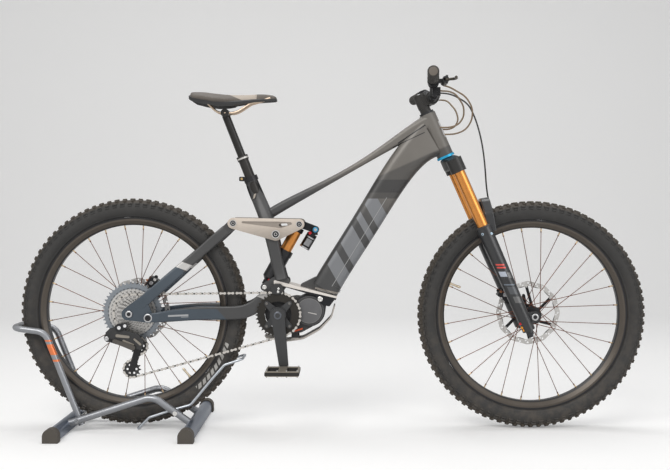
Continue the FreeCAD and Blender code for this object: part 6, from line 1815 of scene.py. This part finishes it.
def saddle_trim(cover):
    """The shell under the padding and four rows of stitches."""
    tree = BVHTree.FromObject(cover, bpy.context.evaluated_depsgraph_get())
    bm = bmesh.new()
    for _, side in SIDES:
        row = []
        for i in range(2, STITCH_STEPS - 2):
            section = saddle_section(i / STITCH_STEPS, 0.0)
            edge = max(point.y for point in section)
            row.append((Vector((section[0].x, side * (edge + 0.02),
                                max(point.z for point in section) - 0.0175)),
                        Vector((0.0, -side, 0.0))))
        stitch_row(bm, tree, row)
    for shift in (-0.0035, 0.0035):
        stitch_row(bm, tree, [(Vector((PANEL_FRONT + shift, -0.024 + 0.048 * i / 25, 1.09)),
                               Vector((0.0, 0.0, -1.0))) for i in range(26)])
    piece_from(bm, "saddle_stitches", "saddle", plain_finish(
        "Thread", (0.16, 0.135, 0.11), 0.7, grain=3000.0))
    bm = bmesh.new()
    loft_sections(bm, [shell_section(0.004 + 0.982 * i / 40) for i in range(41)])
    piece_from(bm, "saddle_shell", "saddle", black_plastic(), angle=50.0)


def shell_section(share):
    """A closed outline across the shell: a skirt on each side, joined by a thin roof."""
    outline = saddle_section(share, 0.0)
    x = outline[0].x
    wide = max(point.y for point in outline)
    floor = min(point.z for point in outline)
    skirt = floor - (0.0045 if share < 0.5 else 0.0015)
    inner = max(point.z for point in outline) - 0.0150
    half = ((-0.97, floor + 0.006), (-0.93, skirt), (-0.86, skirt), (-0.55, inner - 0.0012))
    mirrored = [(-across, z) for across, z in reversed(half)]
    roof = ((0.60, inner + 0.0016), (-0.60, inner + 0.0016))
    return [Vector((x, wide * across, z)) for across, z in (*half, *mirrored, *roof)]


class BICYCLE_OT_saddle(BicycleOperator):
    """Make the padded saddle and finish its rails and post"""

    bl_idname = "bicycle.saddle"
    bl_label = "Saddle"

    def execute(self, context):
        cover = padded_cover()
        put_on(cover, cover_material())
        shade(cover, ALL_SMOOTH)
        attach(cover, "saddle")
        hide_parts("saddle")
        saddle_trim(cover)
        dress("saddle_rails", metal_finish("Rail champagne", (0.66, 0.52, 0.40), 0.3))
        dress("seatpost_outer", collar_finish())
        dress("seatpost_inner", plain_finish("Post black", (0.026, 0.025, 0.024), 0.26,
                                             drift=0.1, Metallic=0.4))
        return {"FINISHED"}


def collar_finish():
    """Black post tube; its collar has a bright band."""
    finish = Finish("Seatpost collar", Metallic=0.5)
    axis = Vector(JOINTS["dropper"]["axis"]).normalized()
    run = finish.from_point(finish.place(), axis, POST_TOP)
    band = finish.between(run, 0.0655, 0.0705)
    colour = finish.mix(band, (0.036, 0.034, 0.032), (0.62, 0.60, 0.58))
    return finish.grained(colour, 0.1, 0.34, 0.08, 1400.0, 0.05)


# ------------------------------------------------------------------ display stand

TAPE_BANDS = ((0.2775, 0.2825), (0.2360, 0.2690), (0.2150, 0.2215))


def lacquer_finish():
    """Metallic gunmetal lacquer."""
    return plain_finish("Stand lacquer", tuple(colours().stand), 0.34, drift=0.2,
                        grain=1200.0, bump=0.08, Metallic=0.8, Coat_Weight=0.25)


def hoop_finish():
    """The same lacquer with bands of orange tape on the near leg."""
    finish = Finish("Hoop lacquer", Metallic=0.6, Coat_Weight=0.25)
    place = finish.place()
    height = finish.along(place, UP)
    near = finish.below(finish.along(place, ACROSS))
    tape = 0.0
    for low, high in TAPE_BANDS:
        tape = finish.most(tape, finish.between(height, low, high))
    colour = finish.mix(finish.times(tape, near), tuple(colours().stand), (0.80, 0.22, 0.08))
    return finish.grained(colour, 0.2, 0.34, 0.1, 1200.0, 0.08)


class BICYCLE_OT_stand(BicycleOperator):
    """Finish the display stand"""

    bl_idname = "bicycle.stand"
    bl_label = "Display stand"

    def execute(self, context):
        dress("side_tubes", lacquer_finish())
        dress("rear_hoop", hoop_finish())
        dress("foot_bars", plain_finish("Foot lacquer", (0.155, 0.185, 0.245), 0.36,
                                        drift=0.2, grain=1200.0, bump=0.08, Metallic=0.75,
                                        Coat_Weight=0.3))
        dress("wheel_cradle", metal_finish("Zinc rod", (0.50, 0.53, 0.57), 0.36,
                                           stretch=(400.0, 400.0, 400.0)))
        dress("foot_end_caps", plain_finish("Cap rubber", (0.085, 0.075, 0.064), 0.72,
                                            drift=0.3, grain=600.0, bump=0.4))
        dress("stand_bolts", bright_finish())
        return {"FINISHED"}


# ------------------------------------------------------------------ panel and registration

OPERATORS = (BICYCLE_OT_stage, BICYCLE_OT_frame, BICYCLE_OT_wheels, BICYCLE_OT_drivetrain,
             BICYCLE_OT_suspension, BICYCLE_OT_fork, BICYCLE_OT_cockpit, BICYCLE_OT_saddle,
             BICYCLE_OT_stand)


class BICYCLE_PT_panel(bpy.types.Panel):
    """Lists the settings and the operators"""

    bl_label = "Bicycle on Stand"
    bl_space_type = "VIEW_3D"
    bl_region_type = "UI"
    bl_category = "Bicycle"

    def draw(self, context):
        layout = self.layout
        for group in (context.scene.bicycle_colours, context.scene.bicycle_sizes):
            for key in group.bl_rna.properties.keys():
                if key not in ("rna_type", "name"):
                    layout.prop(group, key)
        for operator in OPERATORS:
            layout.operator(operator.bl_idname)


CLASSES = (BICYCLE_PG_colours, BICYCLE_PG_sizes, *OPERATORS, BICYCLE_PT_panel)


def register():
    for item in CLASSES:
        bpy.utils.register_class(item)
    bpy.types.Scene.bicycle_colours = PointerProperty(type=BICYCLE_PG_colours)
    bpy.types.Scene.bicycle_sizes = PointerProperty(type=BICYCLE_PG_sizes)


def unregister():
    del bpy.types.Scene.bicycle_sizes
    del bpy.types.Scene.bicycle_colours
    for item in reversed(CLASSES):
        bpy.utils.unregister_class(item)


def main():
    register()
    for operator in OPERATORS:
        prefix, name = operator.bl_idname.split(".")
        getattr(getattr(bpy.ops, prefix), name)()


if __name__ == "__main__":
    main()
